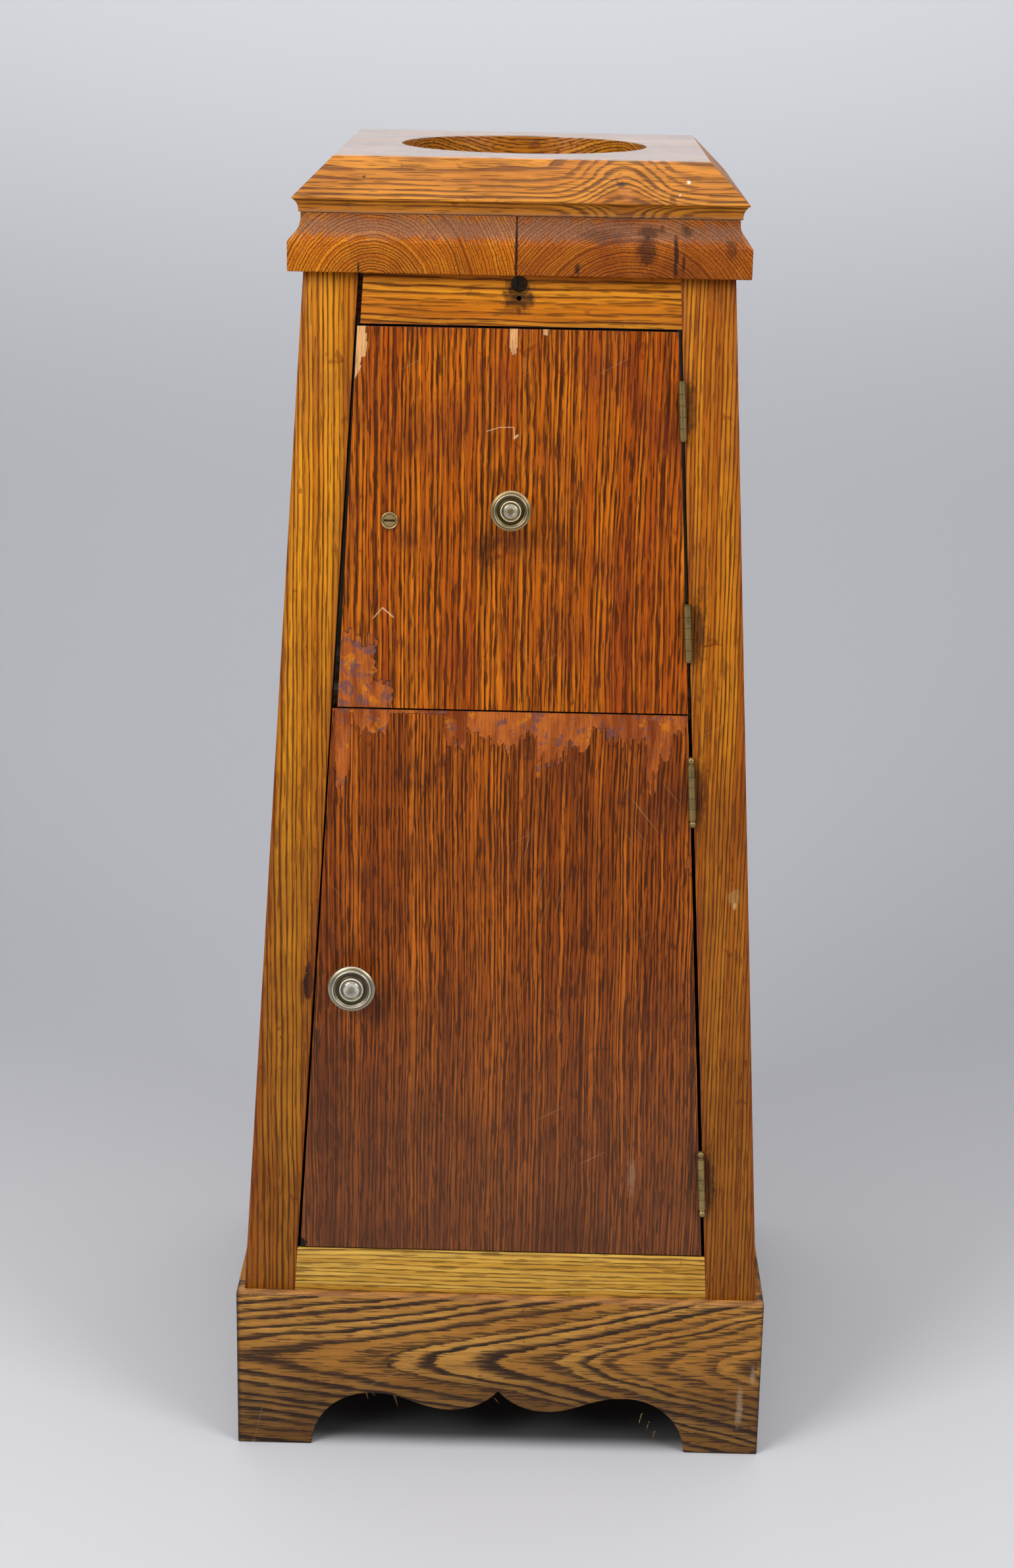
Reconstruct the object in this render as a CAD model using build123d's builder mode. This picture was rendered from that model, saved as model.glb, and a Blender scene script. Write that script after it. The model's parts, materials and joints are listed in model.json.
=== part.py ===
from build123d import *
from math import atan2, cos, degrees, sin
import os

# An antique oak icebox: a tapered cabinet on a bracket-foot plinth, under a
# moulded two-layer cap with a round mouth, with two doors hung on the right.
# Millimetres, +Z up, front towards -Y, origin at the middle of the footprint.

os.makedirs("parts", exist_ok=True)

# ---------------------------------------------------------------- sizes
# The whole cabinet
total_height = 1066.0
plinth_height = 142.0
plinth_ledge = 6.5              # how far the plinth stands out round the carcass
carcass_base = 428.0            # outside width on the plinth
carcass_top = 329.6             # outside width under the cap
cap_lower_thickness = 43.8
cap_upper_thickness = 41.0

# Cap moulding and mouth
cap_overhang = 11.4
cap_band_height = 23.1
cap_cove_depth = 9.5
cap_upper_lip = 1.5             # the upper layer stands proud at the seam
cap_arris_inset = 2.9
cap_arris_rise = 10.7
cap_bevel_run = 30.6
mouth_radius = 98.9
lower_seam_offset = -2.6

# Plinth
plinth_board = 22.0
foot_width = 62.5
apron_arch_height = 49.5
apron_arch_reach = 54.0
apron_arch_turn_reach = 42.1    # a point on the arch's curve, out from its top
apron_arch_turn_height = 31.7
apron_lobe_height = 35.3
apron_lobe_offset = 40.0
apron_cusp_height = 54.0
corner_block_side = 36.0
corner_block_lift = 8.0

# Face frame and panels
frame_thickness = 20.0
stile_width = 42.0
top_rail_height = 39.2
bottom_rail_height = 38.0
top_rail_gap = 4.0              # the rail's left shoulder has drawn away
tenon_thickness = 8.0
tenon_length = 16.0
tenon_margin = 6.0
tenon_clearance = 0.2
panel_thickness = 18.0
upper_opening_height = 301.0

# Linings and shelves
wall_insulation = 16.0
liner_thickness = 1.2
floor_board_thickness = 18.0
divider_thickness = 18.0

# Doors
door_stop_clearance = 0.3
veneer_thickness = 1.0
meeting_gap = 1.6
upper_door_head_gap = 2.0
lower_door_foot_gap = 1.5
hinge_gap = 2.8
upper_swing_gap_top = 1.8       # both doors have dropped, so these widen downward
upper_swing_gap_bottom = 5.0
lower_swing_gap_top = 1.2
lower_swing_gap_bottom = 2.4
inner_panel_thickness = 12.0
inner_panel_inset = 12.0
inner_panel_bevel = 4.0
inner_panel_foot_clearance = 0.75    # over the ice chamber's floor

# Tap hole in the top rail
tap_hole_radius = 6.3
tap_hole_drop = 7.2             # centre below the top of the rail
tap_screw_radius = 1.8
tap_screw_drop = 18.2
tap_screw_depth = 12.0

# Knobs
upper_knob_radius = 15.9
upper_knob_projection = 21.0
upper_knob_below_rail = 139.3
upper_knob_offset = -3.0
lower_knob_radius = 19.05
lower_knob_projection = 25.0
lower_knob_above_rail = 234.5
lower_knob_from_stile = 32.0
knob_screw_radius = 2.0
knob_screw_bite = 10.0
knob_screw_end_play = 1.0
knob_screw_head_radius = 4.0
knob_screw_head_height = 2.4
screw_clearance = 0.2

# Latches
spindle_radius = 4.0
spindle_end_radius = 3.0
spindle_lap = 1.0               # how far the spindle runs up into its knob
turn_clearance = 0.05
recess_floor = 8.0              # wood taken out behind each latch
latch_arm_width = 10.0
latch_arm_thickness = 3.0
latch_engagement = 3.5
recess_clearance = 1.0
latch_nut_radius = 5.5
strike_thickness = 1.2
strike_height = 44.0
strike_width = 13.0
lock_below_rail = 151.0
lock_from_stile = 36.4
lock_flange_radius = 6.7
lock_flange_proud = 1.3
lock_barrel_radius = 5.6
lock_plug_radius = 4.6
lock_keyway_width = 1.7
lock_keyway_length = 8.6
lock_keyway_depth = 5.0
lock_nut_radius = 9.0
lock_nut_thickness = 2.0
lock_arm_width = 8.0
lock_arm_thickness = 2.0

# Butt hinges
barrel_radius = 3.1
barrel_length = 44.45
barrel_standoff = 0.3
knuckle_count = 5
knuckle_gap = 0.3
hinge_pin_radius = 1.5
hinge_pin_head_radius = 2.5
hinge_pin_head_height = 0.9
ball_tip_radius = 3.1
ball_tip_neck = 1.3
ball_tip_sink = 0.6             # how far the ball sits down into its neck
leaf_thickness = 1.2
leaf_width = 15.5
leaf_barrel_gap = 0.1           # between the barrel and the leaf's edge
knuckle_overlap = 0.2           # how far a knuckle's web runs into its leaf
hinge_screw_radius = 1.4
hinge_screw_head_radius = 2.7
hinge_screw_length = 12.0
hinge_screw_spacing = 15.0
hinge_screw_stagger = 2.0
upper_hinge_drop = 61.6         # hinge centre below the top rail
upper_hinge_rise = 66.3         # hinge centre above the meeting line
lower_hinge_drop = 62.0
lower_hinge_rise = 66.5

# Loose fittings inside
rack_runner_height = 12.0
rack_runner_width = 20.0
rack_runner_offset = 95.0
rack_slat_thickness = 8.0
rack_slat_width = 34.0
rack_slat_count = 6
rack_wall_gap = 8.0
drain_radius = 9.0
drain_wall = 1.5
drain_flange_radius = 16.0
drain_from_wall = 24.0
drain_end_height = 250.0
drain_clearance = 0.2
pan_width = 260.0
pan_depth = 250.0
pan_height = 58.0
pan_wall = 1.2
pan_flare = 6.0
pan_rim = 4.0
pan_setback = 20.0

# ---------------------------------------------------------------- derived
carcass_height = total_height - plinth_height - cap_lower_thickness - cap_upper_thickness
shoulder = plinth_height + carcass_height            # where the cap sits
seam_height = shoulder + cap_lower_thickness
lean = atan2((carcass_base - carcass_top) / 2, carcass_height)
slant_height = carcass_height / cos(lean)
edge_lean = atan2((carcass_base - carcass_top) / 2, slant_height)
plinth_half = carcass_base / 2 + plinth_ledge
cap_half = carcass_top / 2 + cap_overhang
top_rail_bottom = shoulder - top_rail_height
bottom_rail_top = plinth_height + bottom_rail_height
meeting_line = top_rail_bottom - upper_opening_height
door_thickness = frame_thickness - door_stop_clearance
divider_top = meeting_line + divider_thickness / 2
divider_bottom = meeting_line - divider_thickness / 2
floor_board_top = plinth_height + floor_board_thickness
lining_inset = panel_thickness + wall_insulation
recess_depth = door_thickness - recess_floor         # from the face to the recess floor
cut_margin = 50.0                                    # how far a cutting tool overruns
short_cut_margin = 10.0                              # the same, where another piece is near
bore_overrun = 1.0                                   # and for holes drilled through a door


def half_width(z):
    """Half the carcass's outside width at height z."""
    return carcass_base / 2 - (z - plinth_height) * (carcass_base - carcass_top) / 2 / carcass_height


def slant(z):
    """Distance up the sloping face from the plinth to height z."""
    return (z - plinth_height) / cos(lean)


def stile_edge(z):
    """Half the width of the front opening at height z."""
    return half_width(z) - stile_width


front_face = Plane(
    origin=(0, -carcass_base / 2, plinth_height), x_dir=(1, 0, 0), z_dir=(0, -cos(lean), sin(lean))
)
back_face = Plane(
    origin=(0, carcass_base / 2, plinth_height), x_dir=(-1, 0, 0), z_dir=(0, cos(lean), sin(lean))
)
frame_back = front_face.offset(-frame_thickness)
panel_front = back_face.offset(-panel_thickness)
lining_back = back_face.offset(-lining_inset)


def face_plane(x, z, depth=0.0):
    """A plane parallel to the front face, at (x, z) on it and so far behind it."""
    return Plane(
        origin=front_face.from_local_coords((x, slant(z), -depth)), x_dir=(1, 0, 0), z_dir=front_face.z_dir
    )


def section_plane(x, z):
    """A plane that holds the face normal at (x, z), for turned pieces."""
    here = face_plane(x, z)
    return Plane(origin=here.origin, x_dir=(1, 0, 0), z_dir=Vector(1, 0, 0).cross(here.z_dir))


def sloping_block(inset_x, inset_y, bottom, top):
    """A block whose sides follow the carcass, drawn in by the two insets."""
    half_x = half_width(bottom) - inset_x / cos(lean)
    half_y = half_width(bottom) - inset_y / cos(lean)
    with BuildPart() as block:
        with BuildSketch(Plane.XY.offset(bottom)):
            Rectangle(2 * half_x, 2 * half_y)
        extrude(amount=top - bottom, taper=degrees(lean))
    return block.part


def face_outline(left, right, bottom, top, back):
    """A slab cut square to the front face. left and right give x at a height."""
    with BuildPart() as slab:
        with BuildSketch(front_face.offset(-back)):
            with BuildLine():
                Polyline(
                    (left(bottom), slant(bottom)),
                    (right(bottom), slant(bottom)),
                    (right(top), slant(top)),
                    (left(top), slant(top)),
                    close=True,
                )
            make_face()
        extrude(amount=back + cut_margin)
    return slab.part


def save(name, piece):
    """Labels a finished piece and writes it to its file."""
    piece.label = name
    export_step(piece, f"parts/{name}.step")


# ---------------------------------------------------------------- cap
def cap_layer(profile):
    """A square layer with the same moulding on all four edges and the round mouth."""
    reach = cap_half + cut_margin
    with BuildPart() as layer:
        for plane, mode in ((Plane.XZ, Mode.ADD), (Plane.YZ, Mode.INTERSECT)):
            with BuildSketch(plane):
                with BuildLine():
                    profile()
                    mirror(about=Plane.YZ)
                make_face()
            extrude(amount=reach, both=True, mode=mode)
        with BuildSketch(Plane.XY.offset(shoulder)):
            Circle(mouth_radius)
        extrude(amount=cap_lower_thickness + cap_upper_thickness, mode=Mode.SUBTRACT)
    return layer.part


def lower_cap_profile():
    cove = cap_half - cap_cove_depth
    band_top = shoulder + cap_band_height
    Polyline((0, shoulder), (cap_half, shoulder), (cap_half, band_top))
    RadiusArc((cap_half, band_top), (cove, seam_height), seam_height - band_top)
    Line((cove, seam_height), (0, seam_height))


def upper_cap_profile():
    lip = cap_half - cap_cove_depth + cap_upper_lip
    arris = cap_half - cap_arris_inset
    arris_height = seam_height + cap_arris_rise
    Line((0, seam_height), (lip, seam_height))
    RadiusArc((lip, seam_height), (arris, arris_height), cap_arris_rise)
    Polyline((arris, arris_height), (arris - cap_bevel_run, total_height), (0, total_height))


lower_layer = cap_layer(lower_cap_profile)
upper_layer = cap_layer(upper_cap_profile)
seam_plane = Plane.YZ.offset(lower_seam_offset)

for name, keep in (("cap_lower_left_board", Keep.BOTTOM), ("cap_lower_right_board", Keep.TOP)):
    with BuildPart() as board:
        add(lower_layer)
        split(bisect_by=seam_plane, keep=keep)
    save(name, board.part)

for name, keep in (("cap_upper_front_board", Keep.TOP), ("cap_upper_back_board", Keep.BOTTOM)):
    with BuildPart() as board:
        add(upper_layer)
        split(bisect_by=Plane.XZ, keep=keep)
    save(name, board.part)


# ---------------------------------------------------------------- plinth
def apron_cut(half):
    """The scalloped underside between two feet, drawn from the middle outward."""
    foot = half - foot_width
    arch = foot - apron_arch_reach
    turn = arch + apron_arch_turn_reach
    Polyline((0, -cut_margin), (foot, -cut_margin), (foot, 0))
    ThreePointArc((foot, 0), (turn, apron_arch_turn_height), (arch, apron_arch_height))
    Spline(
        (arch, apron_arch_height), (apron_lobe_offset, apron_lobe_height), tangents=[(-1, 0), (-1, 0)]
    )
    TangentArc((apron_lobe_offset, apron_lobe_height), (0, apron_cusp_height), tangent=(-1, 0))
    mirror(about=Plane.YZ)


def plinth_board_part(face, length):
    """A board of the plinth: face is its outer plane, with local Y up."""
    with BuildPart() as board:
        with BuildSketch(face):
            with Locations((0, plinth_height / 2)):
                Rectangle(length, plinth_height)
        extrude(amount=-plinth_board)
        with BuildSketch(face):
            with BuildLine():
                apron_cut(plinth_half)
            make_face()
        extrude(amount=-plinth_board, mode=Mode.SUBTRACT)
    return board.part


side_length = 2 * (plinth_half - plinth_board)
plinth_front = Plane(origin=(0, -plinth_half, 0), x_dir=(1, 0, 0), z_dir=(0, -1, 0))
plinth_back = Plane(origin=(0, plinth_half, 0), x_dir=(-1, 0, 0), z_dir=(0, 1, 0))
plinth_left = Plane(origin=(-plinth_half, 0, 0), x_dir=(0, -1, 0), z_dir=(-1, 0, 0))
plinth_right = Plane(origin=(plinth_half, 0, 0), x_dir=(0, 1, 0), z_dir=(1, 0, 0))
save("plinth_front_board", plinth_board_part(plinth_front, 2 * plinth_half))
save("plinth_back_board", plinth_board_part(plinth_back, 2 * plinth_half))
save("plinth_left_board", plinth_board_part(plinth_left, side_length))
save("plinth_right_board", plinth_board_part(plinth_right, side_length))

with BuildPart() as corner_blocks:
    block_centre = plinth_half - plinth_board - corner_block_side / 2
    with BuildSketch(Plane.XY.offset(corner_block_lift)):
        with GridLocations(2 * block_centre, 2 * block_centre, 2, 2):
            Rectangle(corner_block_side, corner_block_side)
    extrude(amount=plinth_height - corner_block_lift)
save("plinth_corner_blocks", corner_blocks.part)


# ---------------------------------------------------------------- face frame
def tenons(bottom, top, clearance):
    """A bar right across the front whose ends are a rail's two tenons."""
    middle = (bottom + top) / 2
    reach = stile_edge(middle) + tenon_length + clearance
    height = (top - bottom) / cos(lean) - 2 * tenon_margin + 2 * clearance
    back = (frame_thickness + tenon_thickness) / 2 + clearance
    with BuildPart() as bar:
        with BuildSketch(face_plane(0, middle, back)):
            Rectangle(2 * reach, height)
        extrude(amount=tenon_thickness + 2 * clearance)
    return bar.part


with BuildPart() as front_slab:
    add(sloping_block(0, 0, plinth_height, shoulder))
    split(bisect_by=frame_back, keep=Keep.TOP)

opening = face_outline(
    lambda z: -stile_edge(z),
    stile_edge,
    plinth_height - short_cut_margin,
    shoulder + short_cut_margin,
    frame_thickness + cut_margin,
)
top_rail_outline = face_outline(
    lambda z: -stile_edge(z) + top_rail_gap,
    stile_edge,
    top_rail_bottom,
    shoulder + short_cut_margin,
    frame_thickness,
)
bottom_rail_outline = face_outline(
    lambda z: -stile_edge(z),
    stile_edge,
    plinth_height - short_cut_margin,
    bottom_rail_top,
    frame_thickness,
)

lower_knob_z = bottom_rail_top + lower_knob_above_rail
lower_knob_x = -stile_edge(lower_knob_z) + lower_knob_from_stile
lock_z = top_rail_bottom - lock_below_rail
lock_x = -stile_edge(lock_z) + lock_from_stile
latch_reach = lower_knob_from_stile * cos(edge_lean) + latch_engagement
lock_reach = lock_from_stile * cos(edge_lean) + latch_engagement
latch_arm_top = recess_depth + door_stop_clearance   # nearest the face
lock_nut_back = recess_depth + lock_nut_thickness
lock_arm_top = lock_nut_back + 2 * door_stop_clearance


def rod(x, z, radius, near, far):
    """A round bar square to the front face, between two depths behind it."""
    with BuildPart() as round_block:
        with BuildSketch(face_plane(x, z, far)):
            Circle(radius)
        extrude(amount=far - near)
    return round_block.part


def latch_recess(x, z, radius, near, far):
    """The quarter round that an arm sweeps as it turns from down to left."""
    span = radius + latch_nut_radius + recess_clearance
    middle = (radius - latch_nut_radius - recess_clearance) / 2
    with BuildPart() as recess:
        with BuildSketch(face_plane(x, z, far)):
            Circle(radius)
            with Locations((-middle, -middle)):
                Rectangle(span, span, mode=Mode.INTERSECT)
            Circle(lock_nut_radius + recess_clearance)
        extrude(amount=far - near)
    return recess.part


latch_slot = rod(
    lower_knob_x,
    lower_knob_z,
    latch_reach + recess_clearance,
    latch_arm_top - recess_clearance,
    latch_arm_top + latch_arm_thickness + recess_clearance,
)
lock_slot = rod(
    lock_x,
    lock_z,
    lock_reach + recess_clearance,
    lock_arm_top - recess_clearance,
    lock_arm_top + lock_arm_thickness + recess_clearance,
)

# The strike lies in the left stile's edge, so its plane leans with that edge.
left_edge_up = front_face.x_dir * sin(edge_lean) + front_face.y_dir * cos(edge_lean)
strike_plane = Plane(
    origin=front_face.from_local_coords(
        (-stile_edge(lower_knob_z), slant(lower_knob_z), -latch_arm_top - latch_arm_thickness / 2)
    ),
    x_dir=front_face.z_dir,
    z_dir=left_edge_up.cross(front_face.z_dir),
)


def strike_blank(clearance):
    with BuildPart() as plate:
        with BuildSketch(strike_plane):
            Rectangle(strike_width + 2 * clearance, strike_height + 2 * clearance)
        extrude(amount=-strike_thickness - clearance)
    return plate.part


with BuildPart() as strike:
    add(strike_blank(0))
    add(latch_slot, mode=Mode.SUBTRACT)
save("latch_strike_plate", strike.part)


# ---------------------------------------------------------------- hinges
# Each hinge has its own plane on the pin's axis: X towards the stile, Y into the
# cabinet and Z up along the leaning edge of the opening.
right_edge_up = front_face.x_dir * -sin(edge_lean) + front_face.y_dir * cos(edge_lean)
right_edge_out = right_edge_up.cross(front_face.z_dir)
pin_standoff = barrel_radius + barrel_standoff
leaf_inner = hinge_gap / 2 - leaf_thickness
leaf_start = barrel_radius + barrel_standoff + leaf_barrel_gap
knuckle_pitch = barrel_length / knuckle_count


def hinge_plane(z):
    on_face = front_face.from_local_coords((stile_edge(z), slant(z), pin_standoff))
    return Plane(origin=on_face - right_edge_out * (hinge_gap / 2), x_dir=right_edge_out, z_dir=right_edge_up)


def beside(plane, side):
    """The plane of a leaf's outer surface: side +1 for the stile, -1 for the door."""
    normal = plane.x_dir * side
    return Plane(origin=plane.origin + normal * (hinge_gap / 2), x_dir=plane.z_dir, z_dir=normal)


def screw_spots():
    """Screw places on a leaf, as (along the edge, into the cabinet)."""
    middle = leaf_start + leaf_width / 2
    return [
        (-hinge_screw_spacing, middle + hinge_screw_stagger),
        (0.0, middle - hinge_screw_stagger),
        (hinge_screw_spacing, middle + hinge_screw_stagger),
    ]


def spots_on(leaf_plane, plane):
    """The screw places in the leaf plane's own coordinates."""
    inward = 1 if leaf_plane.y_dir.dot(plane.y_dir) > 0 else -1
    return [(along, inward * deep) for along, deep in screw_spots()]


def hinge_leaf(plane, side):
    """One leaf with its knuckles. The stile's leaf has the outer knuckles."""
    first = 0 if side > 0 else 1
    outer = beside(plane, side)
    inward = 1 if outer.y_dir.dot(plane.y_dir) > 0 else -1
    with BuildPart() as leaf:
        with BuildSketch(outer):
            with Locations((0, inward * (leaf_start + leaf_width / 2))):
                Rectangle(barrel_length, leaf_width)
        extrude(amount=-leaf_thickness)
        for index in range(first, knuckle_count, 2):
            start = -barrel_length / 2 + index * knuckle_pitch + knuckle_gap / 2
            with BuildSketch(plane.offset(start)):
                Circle(barrel_radius)
                with Locations((side * (leaf_inner + leaf_thickness / 2), leaf_start / 2)):
                    Rectangle(leaf_thickness, leaf_start + knuckle_overlap)
            extrude(amount=knuckle_pitch - knuckle_gap)
        with BuildSketch(plane.offset(-barrel_length / 2)):
            Circle(hinge_pin_radius + turn_clearance)
        extrude(amount=barrel_length, mode=Mode.SUBTRACT)
        with Locations(outer.offset(-leaf_thickness)):
            with Locations([(a, d, 0) for a, d in spots_on(outer, plane)]):
                Cone(
                    hinge_screw_head_radius + turn_clearance,
                    hinge_screw_radius + turn_clearance,
                    leaf_thickness,
                    align=(Align.CENTER, Align.CENTER, Align.MIN),
                    mode=Mode.SUBTRACT,
                )
    return leaf.part


def hinge_screws(plane, side):
    outer = beside(plane, side)
    with BuildPart() as screws:
        with Locations(outer.offset(-leaf_thickness)):
            with Locations([(a, d, 0) for a, d in spots_on(outer, plane)]):
                Cone(
                    hinge_screw_head_radius,
                    hinge_screw_radius,
                    leaf_thickness,
                    align=(Align.CENTER, Align.CENTER, Align.MIN),
                )
                Cylinder(
                    hinge_screw_radius, hinge_screw_length, align=(Align.CENTER, Align.CENTER, Align.MIN)
                )
    return screws.part


def screw_pilots(plane, side):
    outer = beside(plane, side)
    with BuildPart() as pilots:
        with Locations(outer):
            with Locations([(a, d, 0) for a, d in spots_on(outer, plane)]):
                Cylinder(
                    hinge_screw_radius + turn_clearance,
                    hinge_screw_length,
                    align=(Align.CENTER, Align.CENTER, Align.MIN),
                )
    return pilots.part


def hinge_pin(plane, ball_tipped):
    end = barrel_length / 2
    with BuildPart() as pin:
        with BuildSketch(plane.offset(-end)):
            Circle(hinge_pin_radius)
        extrude(amount=barrel_length)
        for sign in (-1, 1):
            tip = plane.offset(sign * end)
            with BuildSketch(tip):
                Circle(hinge_pin_head_radius)
            extrude(amount=sign * (ball_tip_neck if ball_tipped else hinge_pin_head_height))
            if ball_tipped:
                with Locations(plane.offset(sign * (end + ball_tip_neck + ball_tip_radius - ball_tip_sink))):
                    Sphere(ball_tip_radius)
    return pin.part


upper_hinges = [hinge_plane(top_rail_bottom - upper_hinge_drop), hinge_plane(meeting_line + upper_hinge_rise)]
lower_hinges = [hinge_plane(meeting_line - lower_hinge_drop), hinge_plane(bottom_rail_top + lower_hinge_rise)]


def together(pieces):
    """Several like solids as one group."""
    with BuildPart() as group:
        for piece in pieces:
            add(piece)
    return group.part


for door, hinges in (("upper", upper_hinges), ("lower", lower_hinges)):
    save(f"{door}_hinge_stile_leaves", together([hinge_leaf(plane, 1) for plane in hinges]))
    save(f"{door}_hinge_door_leaves", together([hinge_leaf(plane, -1) for plane in hinges]))
    save(f"{door}_hinge_pins", together([hinge_pin(plane, door == "lower") for plane in hinges]))
    save(f"{door}_hinge_door_screws", together([hinge_screws(plane, -1) for plane in hinges]))
save("hinge_stile_screws", together([hinge_screws(plane, 1) for plane in upper_hinges + lower_hinges]))


# ---------------------------------------------------------------- stiles, rails, panels
for name, keep in (("left_stile", Keep.BOTTOM), ("right_stile", Keep.TOP)):
    with BuildPart() as stile:
        add(front_slab.part)
        add(opening, mode=Mode.SUBTRACT)
        split(bisect_by=Plane.YZ, keep=keep)
        add(tenons(top_rail_bottom, shoulder, tenon_clearance), mode=Mode.SUBTRACT)
        add(tenons(plinth_height, bottom_rail_top, tenon_clearance), mode=Mode.SUBTRACT)
        if keep is Keep.BOTTOM:
            add(strike_blank(tenon_clearance), mode=Mode.SUBTRACT)
            add(latch_slot, mode=Mode.SUBTRACT)
            add(lock_slot, mode=Mode.SUBTRACT)
        else:
            for plane in upper_hinges + lower_hinges:
                add(screw_pilots(plane, 1), mode=Mode.SUBTRACT)
    save(name, stile.part)

tap_hole_z = shoulder - tap_hole_drop
tap_screw_z = shoulder - tap_screw_drop
with BuildPart() as top_rail:
    add(front_slab.part)
    add(top_rail_outline, mode=Mode.INTERSECT)
    add(tenons(top_rail_bottom, shoulder, 0))
    with Locations(face_plane(0, tap_hole_z)):
        Hole(tap_hole_radius, frame_thickness + recess_clearance)
    with Locations(face_plane(0, tap_screw_z)):
        Hole(tap_screw_radius, tap_screw_depth)
save("top_rail", top_rail.part)

with BuildPart() as bottom_rail:
    add(front_slab.part)
    add(bottom_rail_outline, mode=Mode.INTERSECT)
    add(tenons(plinth_height, bottom_rail_top, 0))
save("bottom_rail", bottom_rail.part)

with BuildPart() as back_panel:
    add(sloping_block(0, 0, plinth_height, shoulder))
    split(bisect_by=panel_front, keep=Keep.TOP)
save("back_panel", back_panel.part)


def between_front_and_back(solid, back_plane):
    """The part of a solid that lies behind the face frame and before back_plane."""
    with BuildPart() as middle:
        add(solid)
        split(bisect_by=frame_back, keep=Keep.BOTTOM)
        split(bisect_by=back_plane, keep=Keep.BOTTOM)
    return middle.part


def side_wall(outer_inset, inner_inset, bottom, top, back_plane, keep):
    """A sloping wall on one side, or on both sides with keep as Keep.BOTH."""
    with BuildPart() as wall:
        add(between_front_and_back(sloping_block(outer_inset, 0, bottom, top), back_plane))
        add(sloping_block(inner_inset, -cut_margin, bottom, top), mode=Mode.SUBTRACT)
        if keep is not Keep.BOTH:
            split(bisect_by=Plane.YZ, keep=keep)
    return wall.part


for name, keep in (("left_side_panel", Keep.BOTTOM), ("right_side_panel", Keep.TOP)):
    save(name, side_wall(0, panel_thickness, plinth_height, shoulder, panel_front, keep))

# ---------------------------------------------------------------- floor, divider, linings
with BuildPart() as floor_board:
    add(
        between_front_and_back(
            sloping_block(panel_thickness, 0, plinth_height, floor_board_top), panel_front
        )
    )
save("floor_board", floor_board.part)

drain_y = half_width(divider_top) - (lining_inset + liner_thickness) / cos(lean) - drain_from_wall
drain_hole = Cylinder(
    drain_radius + drain_clearance,
    carcass_height,
    align=(Align.CENTER, Align.CENTER, Align.MIN),
    mode=Mode.PRIVATE,
).moved(Location((0, drain_y, drain_end_height)))

with BuildPart() as divider:
    add(between_front_and_back(sloping_block(panel_thickness, 0, divider_bottom, divider_top), panel_front))
    add(drain_hole, mode=Mode.SUBTRACT)
save("divider_shelf", divider.part)


def packing_slabs(bottom, top):
    """Packing in the two side walls and the back wall, as three slabs."""
    sides = side_wall(panel_thickness, lining_inset, bottom, top, panel_front, Keep.BOTH)
    with BuildPart() as back:
        add(between_front_and_back(sloping_block(lining_inset, 0, bottom, top), panel_front))
        split(bisect_by=lining_back, keep=Keep.TOP)
    return Compound(children=[*sides.solids(), *back.part.solids()])


def lining_hollow(bottom, top):
    """The space inside a lining, run out past its open front and top."""
    inner = lining_inset + liner_thickness
    with BuildPart() as hollow:
        add(sloping_block(inner, -cut_margin, bottom, top + liner_thickness))
        split(bisect_by=back_face.offset(-inner), keep=Keep.BOTTOM)
        split(bisect_by=Plane.XY.offset(bottom + liner_thickness), keep=Keep.TOP)
    return hollow.part


def lining(bottom, top):
    """A sheet metal box, open towards the door and at the top."""
    with BuildPart() as box:
        add(between_front_and_back(sloping_block(lining_inset, 0, bottom, top), lining_back))
        add(lining_hollow(bottom, top), mode=Mode.SUBTRACT)
    return box.part


with BuildPart() as ice_chamber_lining:
    add(lining(divider_top, shoulder))
    add(drain_hole, mode=Mode.SUBTRACT)
save("ice_chamber_lining", ice_chamber_lining.part)

food_floor = bottom_rail_top                         # flush with the bottom rail
save("food_chamber_lining", lining(food_floor - liner_thickness, divider_bottom))
save("ice_chamber_insulation", packing_slabs(divider_top, shoulder))
save("food_chamber_insulation", packing_slabs(floor_board_top, divider_bottom))

with BuildPart() as floor_insulation:
    add(
        between_front_and_back(
            sloping_block(lining_inset, 0, floor_board_top, food_floor - liner_thickness), lining_back
        )
    )
save("floor_insulation", floor_insulation.part)

# ---------------------------------------------------------------- ice rack, drain, pan
rack_floor = divider_top + liner_thickness
slat_base = rack_floor + rack_runner_height
slat_top = slat_base + rack_slat_thickness
rack_half = half_width(slat_top) - (lining_inset + liner_thickness) / cos(lean) - rack_wall_gap
rack_pitch = (2 * rack_half - rack_slat_width) / (rack_slat_count - 1)

with BuildPart() as rack_runners:
    with BuildSketch(Plane.XY.offset(rack_floor)):
        with GridLocations(2 * rack_runner_offset, 0, 2, 1):
            Rectangle(rack_runner_width, 2 * rack_half)
    extrude(amount=rack_runner_height)
save("ice_rack_runners", rack_runners.part)

with BuildPart() as rack_slats:
    with BuildSketch(Plane.XY.offset(slat_base)):
        with GridLocations(0, rack_pitch, 1, rack_slat_count):
            Rectangle(2 * rack_half, rack_slat_width)
    extrude(amount=rack_slat_thickness)
save("ice_rack_slats", rack_slats.part)

with BuildPart() as drain_pipe:
    with BuildSketch(Plane.XY.offset(drain_end_height)):
        with Locations((0, drain_y)):
            Circle(drain_radius)
    extrude(amount=rack_floor - drain_end_height)
    with BuildSketch(Plane.XY.offset(rack_floor)):
        with Locations((0, drain_y)):
            Circle(drain_flange_radius)
    extrude(amount=liner_thickness)
    with BuildSketch(Plane.XY.offset(drain_end_height)):
        with Locations((0, drain_y)):
            Circle(drain_radius - drain_wall)
    extrude(amount=carcass_height, mode=Mode.SUBTRACT)
save("drain_pipe", drain_pipe.part)

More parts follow.
